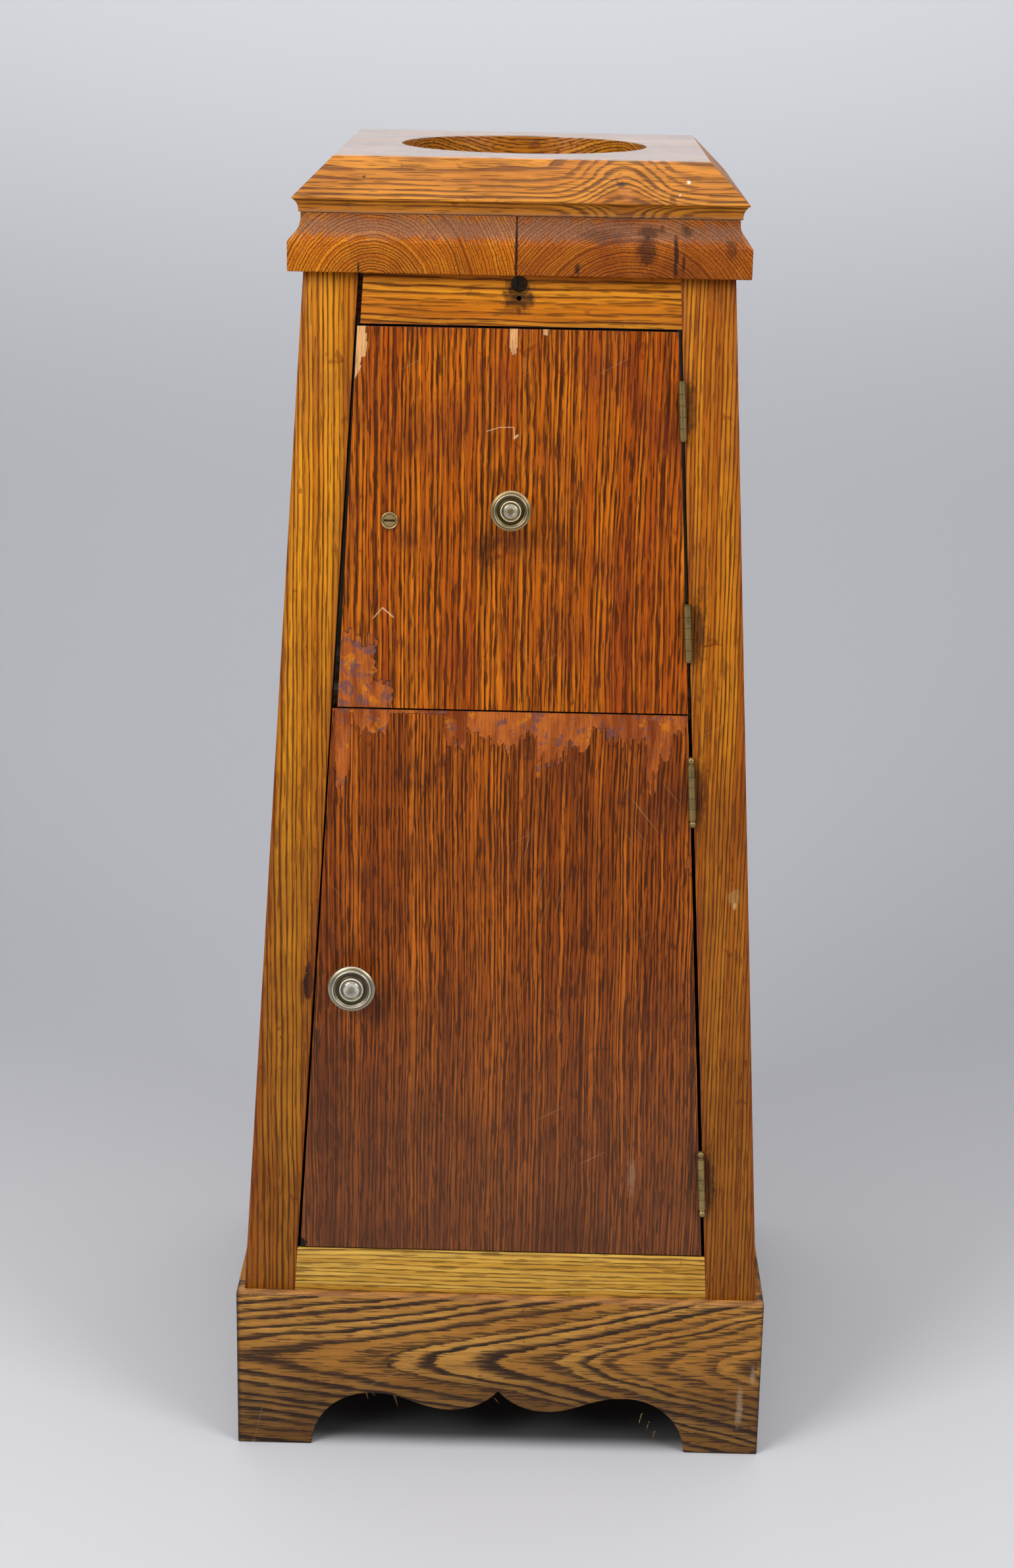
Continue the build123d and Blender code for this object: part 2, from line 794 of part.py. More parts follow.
with BuildPart() as drip_pan:
    with BuildSketch(Plane.XY.offset(food_floor)):
        with Locations((0, pan_setback)):
            Rectangle(pan_width - 2 * pan_flare, pan_depth - 2 * pan_flare)
    with BuildSketch(Plane.XY.offset(food_floor + pan_height)):
        with Locations((0, pan_setback)):
            Rectangle(pan_width, pan_depth)
    loft(ruled=True)
    with BuildSketch(Plane.XY.offset(food_floor + pan_height - pan_rim)):
        with Locations((0, pan_setback)):
            Rectangle(pan_width + pan_rim, pan_depth + pan_rim)
    extrude(amount=pan_rim)
    with BuildSketch(Plane.XY.offset(food_floor + pan_wall)):
        with Locations((0, pan_setback)):
            Rectangle(pan_width - 2 * (pan_flare + pan_wall), pan_depth - 2 * (pan_flare + pan_wall))
    with BuildSketch(Plane.XY.offset(food_floor + pan_height)):
        with Locations((0, pan_setback)):
            Rectangle(pan_width - 2 * pan_wall, pan_depth - 2 * pan_wall)
    loft(ruled=True, mode=Mode.SUBTRACT)
save("drip_pan", drip_pan.part)


# ---------------------------------------------------------------- doors
upper_door_bottom = meeting_line + meeting_gap / 2
upper_door_top = top_rail_bottom - upper_door_head_gap
lower_door_bottom = bottom_rail_top + lower_door_foot_gap
lower_door_top = meeting_line - meeting_gap / 2


def door_slab(bottom, top, gap_at_top, gap_at_bottom, near, far, inset=0.0, foot_inset=0.0):
    """A slab of a door between two depths, its outline drawn in by the two insets."""

    def left(z):
        share = (z - bottom) / (top - bottom)
        return -stile_edge(z) + gap_at_bottom + (gap_at_top - gap_at_bottom) * share + inset

    def right(z):
        return stile_edge(z) - hinge_gap / cos(edge_lean) - inset

    low = bottom + foot_inset
    high = top - inset
    with BuildPart() as slab:
        with BuildSketch(front_face.offset(-far)):
            with BuildLine():
                Polyline(
                    (left(low), slant(low)),
                    (right(low), slant(low)),
                    (right(high), slant(high)),
                    (left(high), slant(high)),
                    close=True,
                )
            make_face()
        extrude(amount=far - near)
    return slab.part


def turned_knob(x, z, radius, projection, lift):
    """A turned knob: foot, waist, wide rim, dished face and a raised bead.

    Its profile is drawn in shares of its radius and of its projection.
    """
    plane = section_plane(x, z)
    with BuildPart() as knob:
        with BuildSketch(plane):
            with BuildLine():
                Polyline((0, lift), (radius * 0.45, lift), (radius * 0.45, projection * 0.08))
                Spline(
                    (radius * 0.45, projection * 0.08),
                    (radius * 0.34, projection * 0.36),
                    (radius * 0.94, projection * 0.76),
                    tangents=[(-0.4, 1), (1, 0.25)],
                )
                Polyline(
                    (radius * 0.94, projection * 0.76),
                    (radius, projection * 0.80),
                    (radius, projection * 0.86),
                    (radius * 0.84, projection * 0.94),
                    (radius * 0.78, projection * 0.97),
                )
                ThreePointArc(
                    (radius * 0.78, projection * 0.97),
                    (radius * 0.66, projection * 0.91),
                    (radius * 0.54, projection * 0.93),
                )
                ThreePointArc(
                    (radius * 0.54, projection * 0.93),
                    (radius * 0.47, projection),
                    (radius * 0.40, projection * 0.95),
                )
                TangentArc((0, projection * 0.90), (radius * 0.40, projection * 0.95), tangent=(1, 0))
                Line((0, projection * 0.90), (0, lift))
            make_face()
        revolve(axis=Axis(plane.origin, plane.y_dir))
    return knob.part


def arm(x, z, reach, width, near, far):
    """A latch arm hanging from its pivot, with a tip round its pivot."""
    with BuildPart() as lever:
        with BuildSketch(face_plane(x, z, far)):
            Circle(reach)
            with Locations((0, -reach / 2)):
                Rectangle(width, reach + width, mode=Mode.INTERSECT)
        extrude(amount=far - near)
    return lever.part


# The upper door: a fixed knob held by a screw, and a lock that turns.
upper_edges = (upper_door_bottom, upper_door_top, upper_swing_gap_top, upper_swing_gap_bottom)
lower_edges = (lower_door_bottom, lower_door_top, lower_swing_gap_top, lower_swing_gap_bottom)
upper_knob_z = top_rail_bottom - upper_knob_below_rail
knob_screw_back = door_thickness + inner_panel_thickness
screw_way = rod(
    upper_knob_offset,
    upper_knob_z,
    knob_screw_radius + screw_clearance,
    -bore_overrun,
    knob_screw_back + bore_overrun,
)
lock_way = rod(lock_x, lock_z, lock_barrel_radius + turn_clearance, -bore_overrun, frame_thickness)
lock_recess = latch_recess(lock_x, lock_z, lock_reach + recess_clearance, recess_depth, frame_thickness)

with BuildPart() as upper_door_core:
    add(door_slab(*upper_edges, veneer_thickness, door_thickness))
    add(screw_way, mode=Mode.SUBTRACT)
    add(lock_way, mode=Mode.SUBTRACT)
    add(lock_recess, mode=Mode.SUBTRACT)
    for plane in upper_hinges:
        add(screw_pilots(plane, -1), mode=Mode.SUBTRACT)
save("upper_door_core", upper_door_core.part)

with BuildPart() as upper_door_veneer:
    add(door_slab(*upper_edges, 0, veneer_thickness))
    add(screw_way, mode=Mode.SUBTRACT)
    add(lock_way, mode=Mode.SUBTRACT)
save("upper_door_veneer", upper_door_veneer.part)


inner_panel_back = door_thickness + inner_panel_thickness
# The panel's back edge hangs lower than its front, because the door leans.
upper_panel_foot_inset = (
    divider_thickness / 2
    + liner_thickness
    + inner_panel_foot_clearance
    - meeting_gap / 2
    + inner_panel_back * sin(lean)
)


def inner_panel(edges, foot_inset):
    """The raised panel on a door's back, bevelled round its inner face."""
    with BuildPart() as panel:
        add(door_slab(*edges, door_thickness, inner_panel_back, inner_panel_inset, foot_inset))
        inner_face = panel.faces().sort_by(Axis(front_face.origin, front_face.z_dir))[0]
        chamfer(inner_face.edges(), inner_panel_bevel)
    return panel.part


with BuildPart() as upper_inner_panel:
    add(inner_panel(upper_edges, upper_panel_foot_inset))
    add(screw_way, mode=Mode.SUBTRACT)
save("upper_door_inner_panel", upper_inner_panel.part)

with BuildPart() as upper_knob:
    add(turned_knob(upper_knob_offset, upper_knob_z, upper_knob_radius, upper_knob_projection, 0))
    add(
        rod(
            upper_knob_offset,
            upper_knob_z,
            knob_screw_radius + turn_clearance,
            -knob_screw_bite,
            bore_overrun,
        ),
        mode=Mode.SUBTRACT,
    )
save("upper_door_knob", upper_knob.part)

with BuildPart() as knob_screw:
    add(
        rod(
            upper_knob_offset,
            upper_knob_z,
            knob_screw_radius,
            knob_screw_end_play - knob_screw_bite,
            knob_screw_back,
        )
    )
    add(
        rod(
            upper_knob_offset,
            upper_knob_z,
            knob_screw_head_radius,
            knob_screw_back,
            knob_screw_back + knob_screw_head_height,
        )
    )
save("upper_knob_screw", knob_screw.part)

lock_housing_back = lock_nut_back + door_stop_clearance
with BuildPart() as lock_housing:
    add(rod(lock_x, lock_z, lock_barrel_radius, 0, lock_housing_back))
    add(rod(lock_x, lock_z, lock_flange_radius, -lock_flange_proud, 0))
    add(
        rod(lock_x, lock_z, lock_plug_radius + turn_clearance, -lock_flange_proud, frame_thickness),
        mode=Mode.SUBTRACT,
    )
save("lock_housing", lock_housing.part)

with BuildPart() as lock_nut:
    with BuildSketch(face_plane(lock_x, lock_z, lock_nut_back)):
        RegularPolygon(lock_nut_radius, 6)
        Circle(lock_barrel_radius + turn_clearance, mode=Mode.SUBTRACT)
    extrude(amount=lock_nut_thickness)
save("lock_nut", lock_nut.part)

lock_plug_front = -lock_flange_proud + door_stop_clearance
stub = spindle_end_radius
with BuildPart() as lock_plug:
    add(rod(lock_x, lock_z, lock_plug_radius, lock_plug_front, lock_arm_top))
    add(rod(lock_x, lock_z, stub, lock_arm_top, lock_arm_top + lock_arm_thickness))
    with BuildSketch(face_plane(lock_x, lock_z, lock_plug_front)):
        Rectangle(lock_keyway_length, lock_keyway_width)
    extrude(amount=-lock_keyway_depth, mode=Mode.SUBTRACT)
save("lock_plug", lock_plug.part)

with BuildPart() as lock_arm:
    add(arm(lock_x, lock_z, lock_reach, lock_arm_width, lock_arm_top, lock_arm_top + lock_arm_thickness))
    add(rod(lock_x, lock_z, stub + turn_clearance, 0, frame_thickness), mode=Mode.SUBTRACT)
save("lock_arm", lock_arm.part)

# The lower door: its knob turns the latch through a spindle.
spindle_way = rod(lower_knob_x, lower_knob_z, spindle_radius + turn_clearance, -bore_overrun, frame_thickness)
latch_recess_cut = latch_recess(
    lower_knob_x, lower_knob_z, latch_reach + recess_clearance, recess_depth, frame_thickness
)

with BuildPart() as lower_door_core:
    add(door_slab(*lower_edges, veneer_thickness, door_thickness))
    add(spindle_way, mode=Mode.SUBTRACT)
    add(latch_recess_cut, mode=Mode.SUBTRACT)
    for plane in lower_hinges:
        add(screw_pilots(plane, -1), mode=Mode.SUBTRACT)
save("lower_door_core", lower_door_core.part)

with BuildPart() as lower_door_veneer:
    add(door_slab(*lower_edges, 0, veneer_thickness))
    add(spindle_way, mode=Mode.SUBTRACT)
save("lower_door_veneer", lower_door_veneer.part)

save("lower_door_inner_panel", inner_panel(lower_edges, inner_panel_inset))

latch_arm_back = latch_arm_top + latch_arm_thickness
latch_end = door_thickness - door_stop_clearance
with BuildPart() as lower_knob:
    add(
        turned_knob(
            lower_knob_x, lower_knob_z, lower_knob_radius, lower_knob_projection, door_stop_clearance
        )
    )
    add(rod(lower_knob_x, lower_knob_z, spindle_radius, -spindle_lap, latch_arm_top))
    add(rod(lower_knob_x, lower_knob_z, spindle_end_radius, latch_arm_top, latch_end))
save("lower_door_knob", lower_knob.part)

with BuildPart() as latch_arm:
    add(arm(lower_knob_x, lower_knob_z, latch_reach, latch_arm_width, latch_arm_top, latch_arm_back))
    add(
        rod(lower_knob_x, lower_knob_z, spindle_end_radius + turn_clearance, 0, frame_thickness),
        mode=Mode.SUBTRACT,
    )
save("latch_arm", latch_arm.part)

with BuildPart() as latch_nut:
    with BuildSketch(face_plane(lower_knob_x, lower_knob_z, latch_end)):
        RegularPolygon(latch_nut_radius, 6)
        Circle(spindle_end_radius + turn_clearance, mode=Mode.SUBTRACT)
    extrude(amount=latch_end - latch_arm_back)
save("latch_nut", latch_nut.part)
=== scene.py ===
import json
import math

import bpy
import numpy as np
from mathutils import Matrix, Vector

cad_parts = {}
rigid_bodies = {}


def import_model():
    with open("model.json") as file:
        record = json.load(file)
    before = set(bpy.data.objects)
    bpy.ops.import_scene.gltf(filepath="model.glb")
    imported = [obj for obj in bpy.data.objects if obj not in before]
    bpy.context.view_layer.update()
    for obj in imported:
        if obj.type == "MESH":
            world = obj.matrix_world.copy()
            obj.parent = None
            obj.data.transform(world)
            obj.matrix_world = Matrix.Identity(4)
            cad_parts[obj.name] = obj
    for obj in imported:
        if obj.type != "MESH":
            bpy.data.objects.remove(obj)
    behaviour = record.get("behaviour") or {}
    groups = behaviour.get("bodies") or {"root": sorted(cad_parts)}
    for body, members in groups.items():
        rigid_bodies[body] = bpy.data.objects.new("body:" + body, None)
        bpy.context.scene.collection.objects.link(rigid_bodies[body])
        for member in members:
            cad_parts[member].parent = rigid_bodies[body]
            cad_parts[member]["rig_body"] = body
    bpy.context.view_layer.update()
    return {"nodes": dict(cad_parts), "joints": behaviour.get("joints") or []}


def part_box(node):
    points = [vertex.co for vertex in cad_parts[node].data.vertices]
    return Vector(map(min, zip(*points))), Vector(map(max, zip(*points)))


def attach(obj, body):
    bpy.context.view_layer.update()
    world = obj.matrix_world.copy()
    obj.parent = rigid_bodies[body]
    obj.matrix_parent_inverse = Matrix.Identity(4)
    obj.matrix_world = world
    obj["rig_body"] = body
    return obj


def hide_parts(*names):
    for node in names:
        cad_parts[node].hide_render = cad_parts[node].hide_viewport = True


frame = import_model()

# Everything is in metres. The front leans back, and these three directions follow it.
lockIn = next(joint["axis"] for joint in frame["joints"] if joint["name"] == "lock_turn")
faceOut = -Vector(lockIn).normalized()
faceUp = Vector((0, faceOut.z, -faceOut.y))
faceFoot = Vector((0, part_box("bottom_rail")[0].y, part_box("bottom_rail")[0].z))
lean = math.atan2(faceOut.z, -faceOut.y)
acrossX, alongY, upZ = Vector((1, 0, 0)), Vector((0, 1, 0)), Vector((0, 0, 1))


def onFace(x, z, out=0.0):  # the point of the front at x and height z, and so far in front of it
    return faceFoot + acrossX * x + faceUp * ((z - faceFoot.z) / math.cos(lean)) + faceOut * out


def faceGrid(x, slant, out):  # the same for whole arrays, with distances up the slope
    shares = np.stack((x, slant, out), -1)
    return np.array(faceFoot) + shares @ np.array((acrossX, faceUp, faceOut))


def nodeOnFace(node):  # a node's points as x, distance up the slope and distance in front of it
    mesh = frame["nodes"][node].data
    points = np.empty(len(mesh.vertices) * 3, np.float32)
    mesh.vertices.foreach_get("co", points)
    offset = points.reshape(-1, 3).astype(float) - np.array(faceFoot)
    return offset @ np.array((acrossX, faceUp, faceOut)).T


def srgb(red, green, blue):  # a colour as seen on a screen, 0 to 255, as light
    share = np.array((red, green, blue)) / 255
    light = np.where(share <= 0.04045, share / 12.92, ((share + 0.055) / 1.055) ** 2.4)
    return (*light.tolist(), 1.0)


camera = {
    "place": (0.02395, -2.2341, 1.2248), "pitch": -17.444, "yaw": 0.732, "roll": -1.038,
    "lens": 61.79, "sensor": 36.0,
}
turn = (
    Matrix.Rotation(math.radians(camera["yaw"]), 3, "Z")
    @ Matrix.Rotation(math.radians(camera["pitch"]), 3, "X")
    @ Matrix.Rotation(math.radians(camera["roll"]), 3, "Y")
    @ Matrix.Rotation(math.radians(90), 3, "X")
)
cameraData = bpy.data.cameras.new("camera")
cameraData.lens = camera["lens"]
cameraData.sensor_width = camera["sensor"]
cameraObject = bpy.data.objects.new("camera", cameraData)
cameraObject.matrix_world = Matrix.Translation(camera["place"]) @ turn.to_4x4()
bpy.context.scene.collection.objects.link(cameraObject)
bpy.context.scene.camera = cameraObject
bpy.context.scene.view_settings.view_transform = "Standard"
print("camera placed")


class Wire:  # an output of a node, so that sums of outputs read as sums
    def __init__(self, socket):
        self.socket = socket

    def __add__(self, other):
        return calc("ADD", self, other)

    def __sub__(self, other):
        return calc("SUBTRACT", self, other)

    def __rsub__(self, other):
        return calc("SUBTRACT", other, self)

    def __mul__(self, other):
        return calc("MULTIPLY", self, other)

    def __truediv__(self, other):
        return calc("DIVIDE", self, other)

    def __rtruediv__(self, other):
        return calc("DIVIDE", other, self)


def feed(node, values):  # links outputs to a node's inputs, or sets plain values
    for key, value in values.items():
        socket = node.inputs[key]
        if isinstance(value, Wire):
            socket.id_data.links.new(value.socket, socket)
        else:
            socket.default_value = value


def wire(kind, values, output=0, tree=None, **settings):  # a new node, and one of its outputs
    tree = tree or next(value.socket.id_data for value in values.values() if isinstance(value, Wire))
    node = tree.nodes.new("ShaderNode" + kind)
    for key, value in settings.items():
        setattr(node, key, value)
    feed(node, values)
    return Wire(node.outputs[output])


def calc(operation, *values):
    return wire("Math", dict(enumerate(values)), operation=operation)


def vectorCalc(operation, *values, output=0):
    return wire("VectorMath", dict(enumerate(values)), output, operation=operation)


def ramp(value, low, high, start=0.0, end=1.0):  # a smooth step between two values
    return wire("MapRange", dict(enumerate((value, low, high, start, end))), interpolation_type="SMOOTHSTEP")


def noise(vector, stretch, detail=2.0, roughness=0.5, distortion=0.0):
    scaled = vectorCalc("MULTIPLY", vector, stretch)
    values = {"Vector": scaled, "Scale": 1.0, "Detail": detail, "Roughness": roughness}
    return wire("TexNoise", {**values, "Distortion": distortion})


def mixColour(share, first, second):  # plain colours are given as seen on a screen, 0 to 255
    first, second = (item if isinstance(item, Wire) else srgb(*item) for item in (first, second))
    return wire("Mix", {0: share, 6: first, 7: second}, 2, data_type="RGBA")


def cover(colour, layers):  # lays tints over a colour, each by its mask and its strength
    for mask, strength, tint in layers:
        colour = mixColour(mask * strength, colour, tint)
    return colour


def axes(vector):  # x, y and z of a vector
    return [Wire(output) for output in wire("SeparateXYZ", {0: vector}).socket.node.outputs]


def combine(*values):
    return wire("CombineXYZ", dict(enumerate(values)))


def newGroup(name, vectors, floats, outputs):
    tree = bpy.data.node_groups.new(name, "ShaderNodeTree")
    for kind, labels in (("Vector", vectors), ("Float", floats)):
        for label in labels:
            tree.interface.new_socket(label, in_out="INPUT", socket_type="NodeSocket" + kind)
    for label in outputs:
        tree.interface.new_socket(label, in_out="OUTPUT", socket_type="NodeSocketFloat")
    given = {output.name: Wire(output) for output in tree.nodes.new("NodeGroupInput").outputs if output.name}
    return tree, given, tree.nodes.new("NodeGroupOutput")


def useGroup(group, values):
    node = wire("Group", values, node_tree=group).socket.node
    return {output.name: Wire(output) for output in node.outputs}


figureKeys = (
    "pithAcross", "pithDepth", "ring", "taper", "taperGrowth", "wave", "ragged", "lineShare", "uneven",
    "knotSize", "knotLift", "poreLength", "poreWidth",
)


def makeWoodFigure():
    # Growth rings round a pith that runs along the grain. A point's ring is its distance from
    # the pith, less taper times its place along the grain, plus slow and fine waves and a knot.
    tree, given, result = newGroup(
        "woodFigure", ("place", "knot"), figureKeys, ("Line", "Pore", "Tone", "Streak", "Ray")
    )
    place = given["place"]
    along, aside, inward = axes(place)
    slow = noise(place, (3.0, 11.0, 11.0)) - 0.5
    quick = noise(place, (28.0, 160.0, 160.0)) - 0.5
    jagged = noise(place, (45.0, 520.0, 520.0), 3.0, 0.65) - 0.5
    bend = noise(place, (15.0, 80.0, 80.0), 1.0) - 0.5
    waves = slow * (given["wave"] * 2.0) + quick * (given["wave"] * 0.16) + bend * (given["wave"] * 0.5)
    flat = vectorCalc("MULTIPLY", place, (1.0, 1.0, 0.0))
    away = vectorCalc("DISTANCE", flat, given["knot"], output=1) / given["knotSize"]
    bulge = calc("EXPONENT", away * away * -1.0)
    waves = waves + bulge * given["knotLift"]
    across = aside + given["pithAcross"]
    depth = inward + given["pithDepth"]
    radius = calc("SQRT", across * across + depth * depth) + waves
    radius = radius - along * (given["taper"] + along * given["taperGrowth"])
    turns = radius / given["ring"]
    # good and poor years: rings of uneven width
    years = wire("TexNoise", {"W": turns * 0.41, "Scale": 1.0, "Detail": 1.0}, noise_dimensions="1D")
    turns = turns + (years - 0.5) * given["uneven"] + jagged * given["ragged"]
    inRing = calc("FRACT", turns)
    fade = ramp(inRing, given["lineShare"] * 0.25, given["lineShare"], 1.0, 0.0)
    line = calc("MAXIMUM", fade, ramp(inRing, 0.88, 1.0))
    ringTone = wire("TexWhiteNoise", {"W": calc("FLOOR", turns)}, noise_dimensions="1D")
    poreScale = combine(0.5 / given["poreLength"], 0.5 / given["poreWidth"], 0.5 / given["poreWidth"])
    # rays run out from the pith, so they are thin in angle and long in radius
    fan = combine(calc("ARCTAN2", across, depth) * 210.0, radius * 55.0, along * 30.0)
    outputs = {
        "Line": line * ramp(ringTone, -0.2, 0.8, 0.2, 1.0),
        "Pore": ramp(noise(place, poreScale, 1.0) + line * 0.16, 0.6, 0.72),
        "Tone": noise(place, (2.5, 26.0, 26.0), 3.0) * 0.7 + ringTone * 0.3,
        "Streak": noise(place, (16.0, 560.0, 560.0), 4.0, 0.65),
        "Ray": ramp(noise(fan, (1.0, 1.0, 1.0), 1.0), 0.52, 0.68),
    }
    feed(result, outputs)
    return tree


def makeWear():
    # Old dirt in soft clouds, bruises, fine scratches that run at odd angles.
    tree, given, result = newGroup("wear", ("place",), ("cloud", "scratches"), ("Dirt", "Bruise", "Scratch"))
    place = given["place"]
    size = combine(*(1.0 / given["cloud"],) * 3)
    scratch = None
    for angle, stretch in ((0.5, (9.0, 700.0, 90.0)), (-0.9, (12.0, 800.0, 100.0)), (1.35, (7.0, 620.0, 80.0))):
        turned = wire("VectorRotate", {"Vector": place, "Angle": angle}, rotation_type="Y_AXIS")
        turned = wire("VectorRotate", {"Vector": turned, "Angle": math.pi / 2}, rotation_type="X_AXIS")
        mark = ramp(noise(turned, stretch, 1.0), 0.775, 0.8)
        scratch = calc("MAXIMUM", scratch, mark) if scratch else mark
    gate = ramp(noise(place, (21.0, 21.0, 21.0), 1.0), 0.42, 0.62)
    outputs = {
        "Dirt": ramp(noise(place, size, 5.0, 0.62), 0.42, 0.72),
        "Bruise": ramp(noise(place, (62.0, 62.0, 62.0), 3.0, 0.55, 0.4), 0.66, 0.73),
        "Scratch": scratch * gate * given["scratches"],
    }
    feed(result, outputs)
    return tree


def makeSpot():
    # A soft-edged patch: one inside an ellipsoid, nought outside, with an uneven rim.
    tree, given, result = newGroup("spot", ("place", "middle", "reach"), ("softness",), ("Mask",))
    offset = vectorCalc("DIVIDE", vectorCalc("SUBTRACT", given["place"], given["middle"]), given["reach"])
    rim = noise(given["place"], (170.0, 170.0, 110.0), 5.0, 0.7) - 0.5
    far = vectorCalc("LENGTH", offset, output=1) + rim * 1.7
    feed(result, {"Mask": ramp(far, 1.0 - given["softness"], 1.0, 1.0, 0.0)})
    return tree


woodFigure = makeWoodFigure()
wear = makeWear()
spot = makeSpot()
print("shader groups made")

palette = {}  # every material by its name


def startMaterial(name):
    palette[name] = bpy.data.materials.new(name)
    palette[name].use_nodes = True
    tree = palette[name].node_tree
    shader = next(node for node in tree.nodes if node.type == "BSDF_PRINCIPLED")
    return shader, wire("TexCoord", {}, "Object", tree)


def stored(shader, label):  # a value stored at each point of the mesh
    return wire("Attribute", {}, "Fac", shader.id_data, attribute_name=label)


def addBump(shader, height, distance, strength=1.0):
    bump = wire("Bump", {"Strength": strength, "Distance": distance, "Height": height})
    feed(shader, {"Normal": bump})


def beyond(place, test):  # a smooth step between two planes across a direction
    direction, start, end = test
    return ramp(vectorCalc("DOT_PRODUCT", place, tuple(direction), output=1), start, end)


woodLook = {
    "light": (228, 150, 26), "middle": (196, 112, 8), "line": (104, 42, 0), "pore": (56, 24, 4),
    "stain": (96, 32, 0), "low": (74, 40, 18), "dust": (190, 160, 120), "shift": (0.0, 0.0, 0.0),
    "ring": 0.0033, "pithAcross": 0.4, "pithDepth": 0.4, "taper": 0.0, "taperGrowth": 0.0,
    "wave": 0.004, "ragged": 0.16, "lineShare": 0.42, "uneven": 0.9, "lineStrength": 0.85,
    "streakStrength": 0.45, "rayStrength": 0.0, "poreLength": 0.012, "poreWidth": 0.0008,
    "poreStrength": 0.45, "knot": (9.0, 9.0, 0.0), "knotSize": 0.02, "knotLift": 0.0, "dirt": 0.35,
    "cloud": 0.07, "scratches": 0.35, "lowTop": 0.86, "lowBottom": 0.15, "lowStrength": 0.85,
    "roughness": 0.42, "gloss": 0.16, "coat": 0.02, "relief": 0.0006,
    "spots": (),  # patches: middle, reach, softness, tint, strength
    "bands": (),  # slices between planes: tests, tint, strength
    "glossTop": None,
}
bareWood = {
    "light": (190, 100, 34), "dark": (126, 52, 8), "fibre": (98, 40, 10), "grime": 0.75,
    "grimeColour": (100, 70, 74), "pale": (224, 168, 110), "amber": (214, 122, 20),
}


def bareMaterial(shader, grain, place):  # wood that a lost veneer leaves open
    patchy = noise(grain, (16.0, 75.0, 75.0), 4.0, 0.6)
    fibres = ramp(noise(grain, (22.0, 620.0, 620.0)), 0.45, 0.75)
    amber = ramp(noise(place, (70.0, 70.0, 70.0), 4.0, 0.7), 0.56, 0.68)
    grime = ramp(noise(place, (90.0, 90.0, 90.0), 4.0, 0.7, 0.5), 0.52, 0.62)
    layers = (
        (fibres, 0.35, bareWood["fibre"]),
        (amber, 0.7, bareWood["amber"]),
        (grime, bareWood["grime"], bareWood["grimeColour"]),
        (ramp(patchy, 0.25, 0.6, 0.55, 1.0), stored(shader, "pale"), bareWood["pale"]),
    )
    return cover(mixColour(ramp(patchy, 0.32, 0.66), bareWood["dark"], bareWood["light"]), layers)


def woodMaterial(name, along, across, changes, bare=False):
    look = {**woodLook, **changes}
    shader, place = startMaterial(name)
    turned = Matrix((along, across, along.cross(across))).to_euler("XYZ")
    grain = wire("Mapping", {"Rotation": turned, "Location": look["shift"], "Vector": place})
    figure = useGroup(woodFigure, {"place": grain, "knot": look["knot"], **{key: look[key] for key in figureKeys}})
    marks = useGroup(wear, {"place": place, "cloud": look["cloud"], "scratches": look["scratches"]})
    layers = [
        (ramp(figure["Streak"], 0.35, 0.75), look["streakStrength"], look["line"]),
        (figure["Ray"], look["rayStrength"], look["line"]),
        (figure["Line"], look["lineStrength"], look["line"]),
        (figure["Pore"], look["poreStrength"], look["pore"]),
        (marks["Dirt"], look["dirt"], look["stain"]),
        (marks["Bruise"], 0.55, look["stain"]),
    ]
    colour = mixColour(ramp(figure["Tone"], 0.3, 0.7), look["middle"], look["light"])
    colour = cover(colour, [layer for layer in layers if layer[1]])
    height = axes(place)[2]
    # painted shade: darker towards the bottom, where less light falls
    lowShade = ramp(height, look["lowBottom"], look["lowTop"], look["lowStrength"], 0.0)
    colour = mixColour(lowShade, colour, mixColour(0.55, colour, look["low"]))
    colour = mixColour(marks["Scratch"], colour, look["dust"])
    rough = ramp(marks["Dirt"], 0.0, 1.0, look["roughness"], look["roughness"] + 0.16)
    for middle, reach, soft, tint, strength in look["spots"]:
        mask = useGroup(spot, {"place": place, "middle": tuple(middle), "reach": reach, "softness": soft})["Mask"]
        colour = cover(colour, [(mask, strength, tint)])
    for tests, tint, strength in look["bands"]:
        for test in tests:
            strength = beyond(place, test) * strength
        colour = mixColour(strength, colour, tint)
    if bare:
        lost = stored(shader, "lost")
        share = ramp(lost, 0.35, 0.65)
        colour = mixColour(share, colour, bareMaterial(shader, grain, place))
        rim = ramp(lost, 0.05, 0.4) * ramp(lost, 0.5, 0.95, 1.0, 0.0)
        colour = cover(colour, [(rim, 0.6, look["pore"])])
        rough = rough + share * 0.2
    coat = look["coat"]
    if look["glossTop"]:  # thick old varnish on a top face
        top = ramp(height, look["glossTop"] - 0.001, look["glossTop"] - 0.0003)
        coat = ramp(top, 0.0, 1.0, coat, 1.0)
    feed(shader, {"Base Color": colour, "Roughness": rough, "Specular IOR Level": look["gloss"]})
    feed(shader, {"Coat Weight": coat, "Coat Roughness": 0.22})
    relief = figure["Pore"] * -1.0 + figure["Line"] * -0.35 + marks["Scratch"] * -0.6
    addBump(shader, relief, look["relief"])


sideRightOut = Vector((faceUp.z, 0, faceUp.y))
sideLeftOut = Vector((-faceUp.z, 0, faceUp.y))
sideRightUp = Vector((-faceUp.y, 0, faceUp.z))
backUp = Vector((0, -faceUp.y, faceUp.z))
frontDepth = faceFoot.dot(faceOut)
frameStain = (96, 44, 20)
# the colour of painted shade in gaps and holes
shadeBlack = (20, 14, 10)
redEdge = (124, 54, 16)


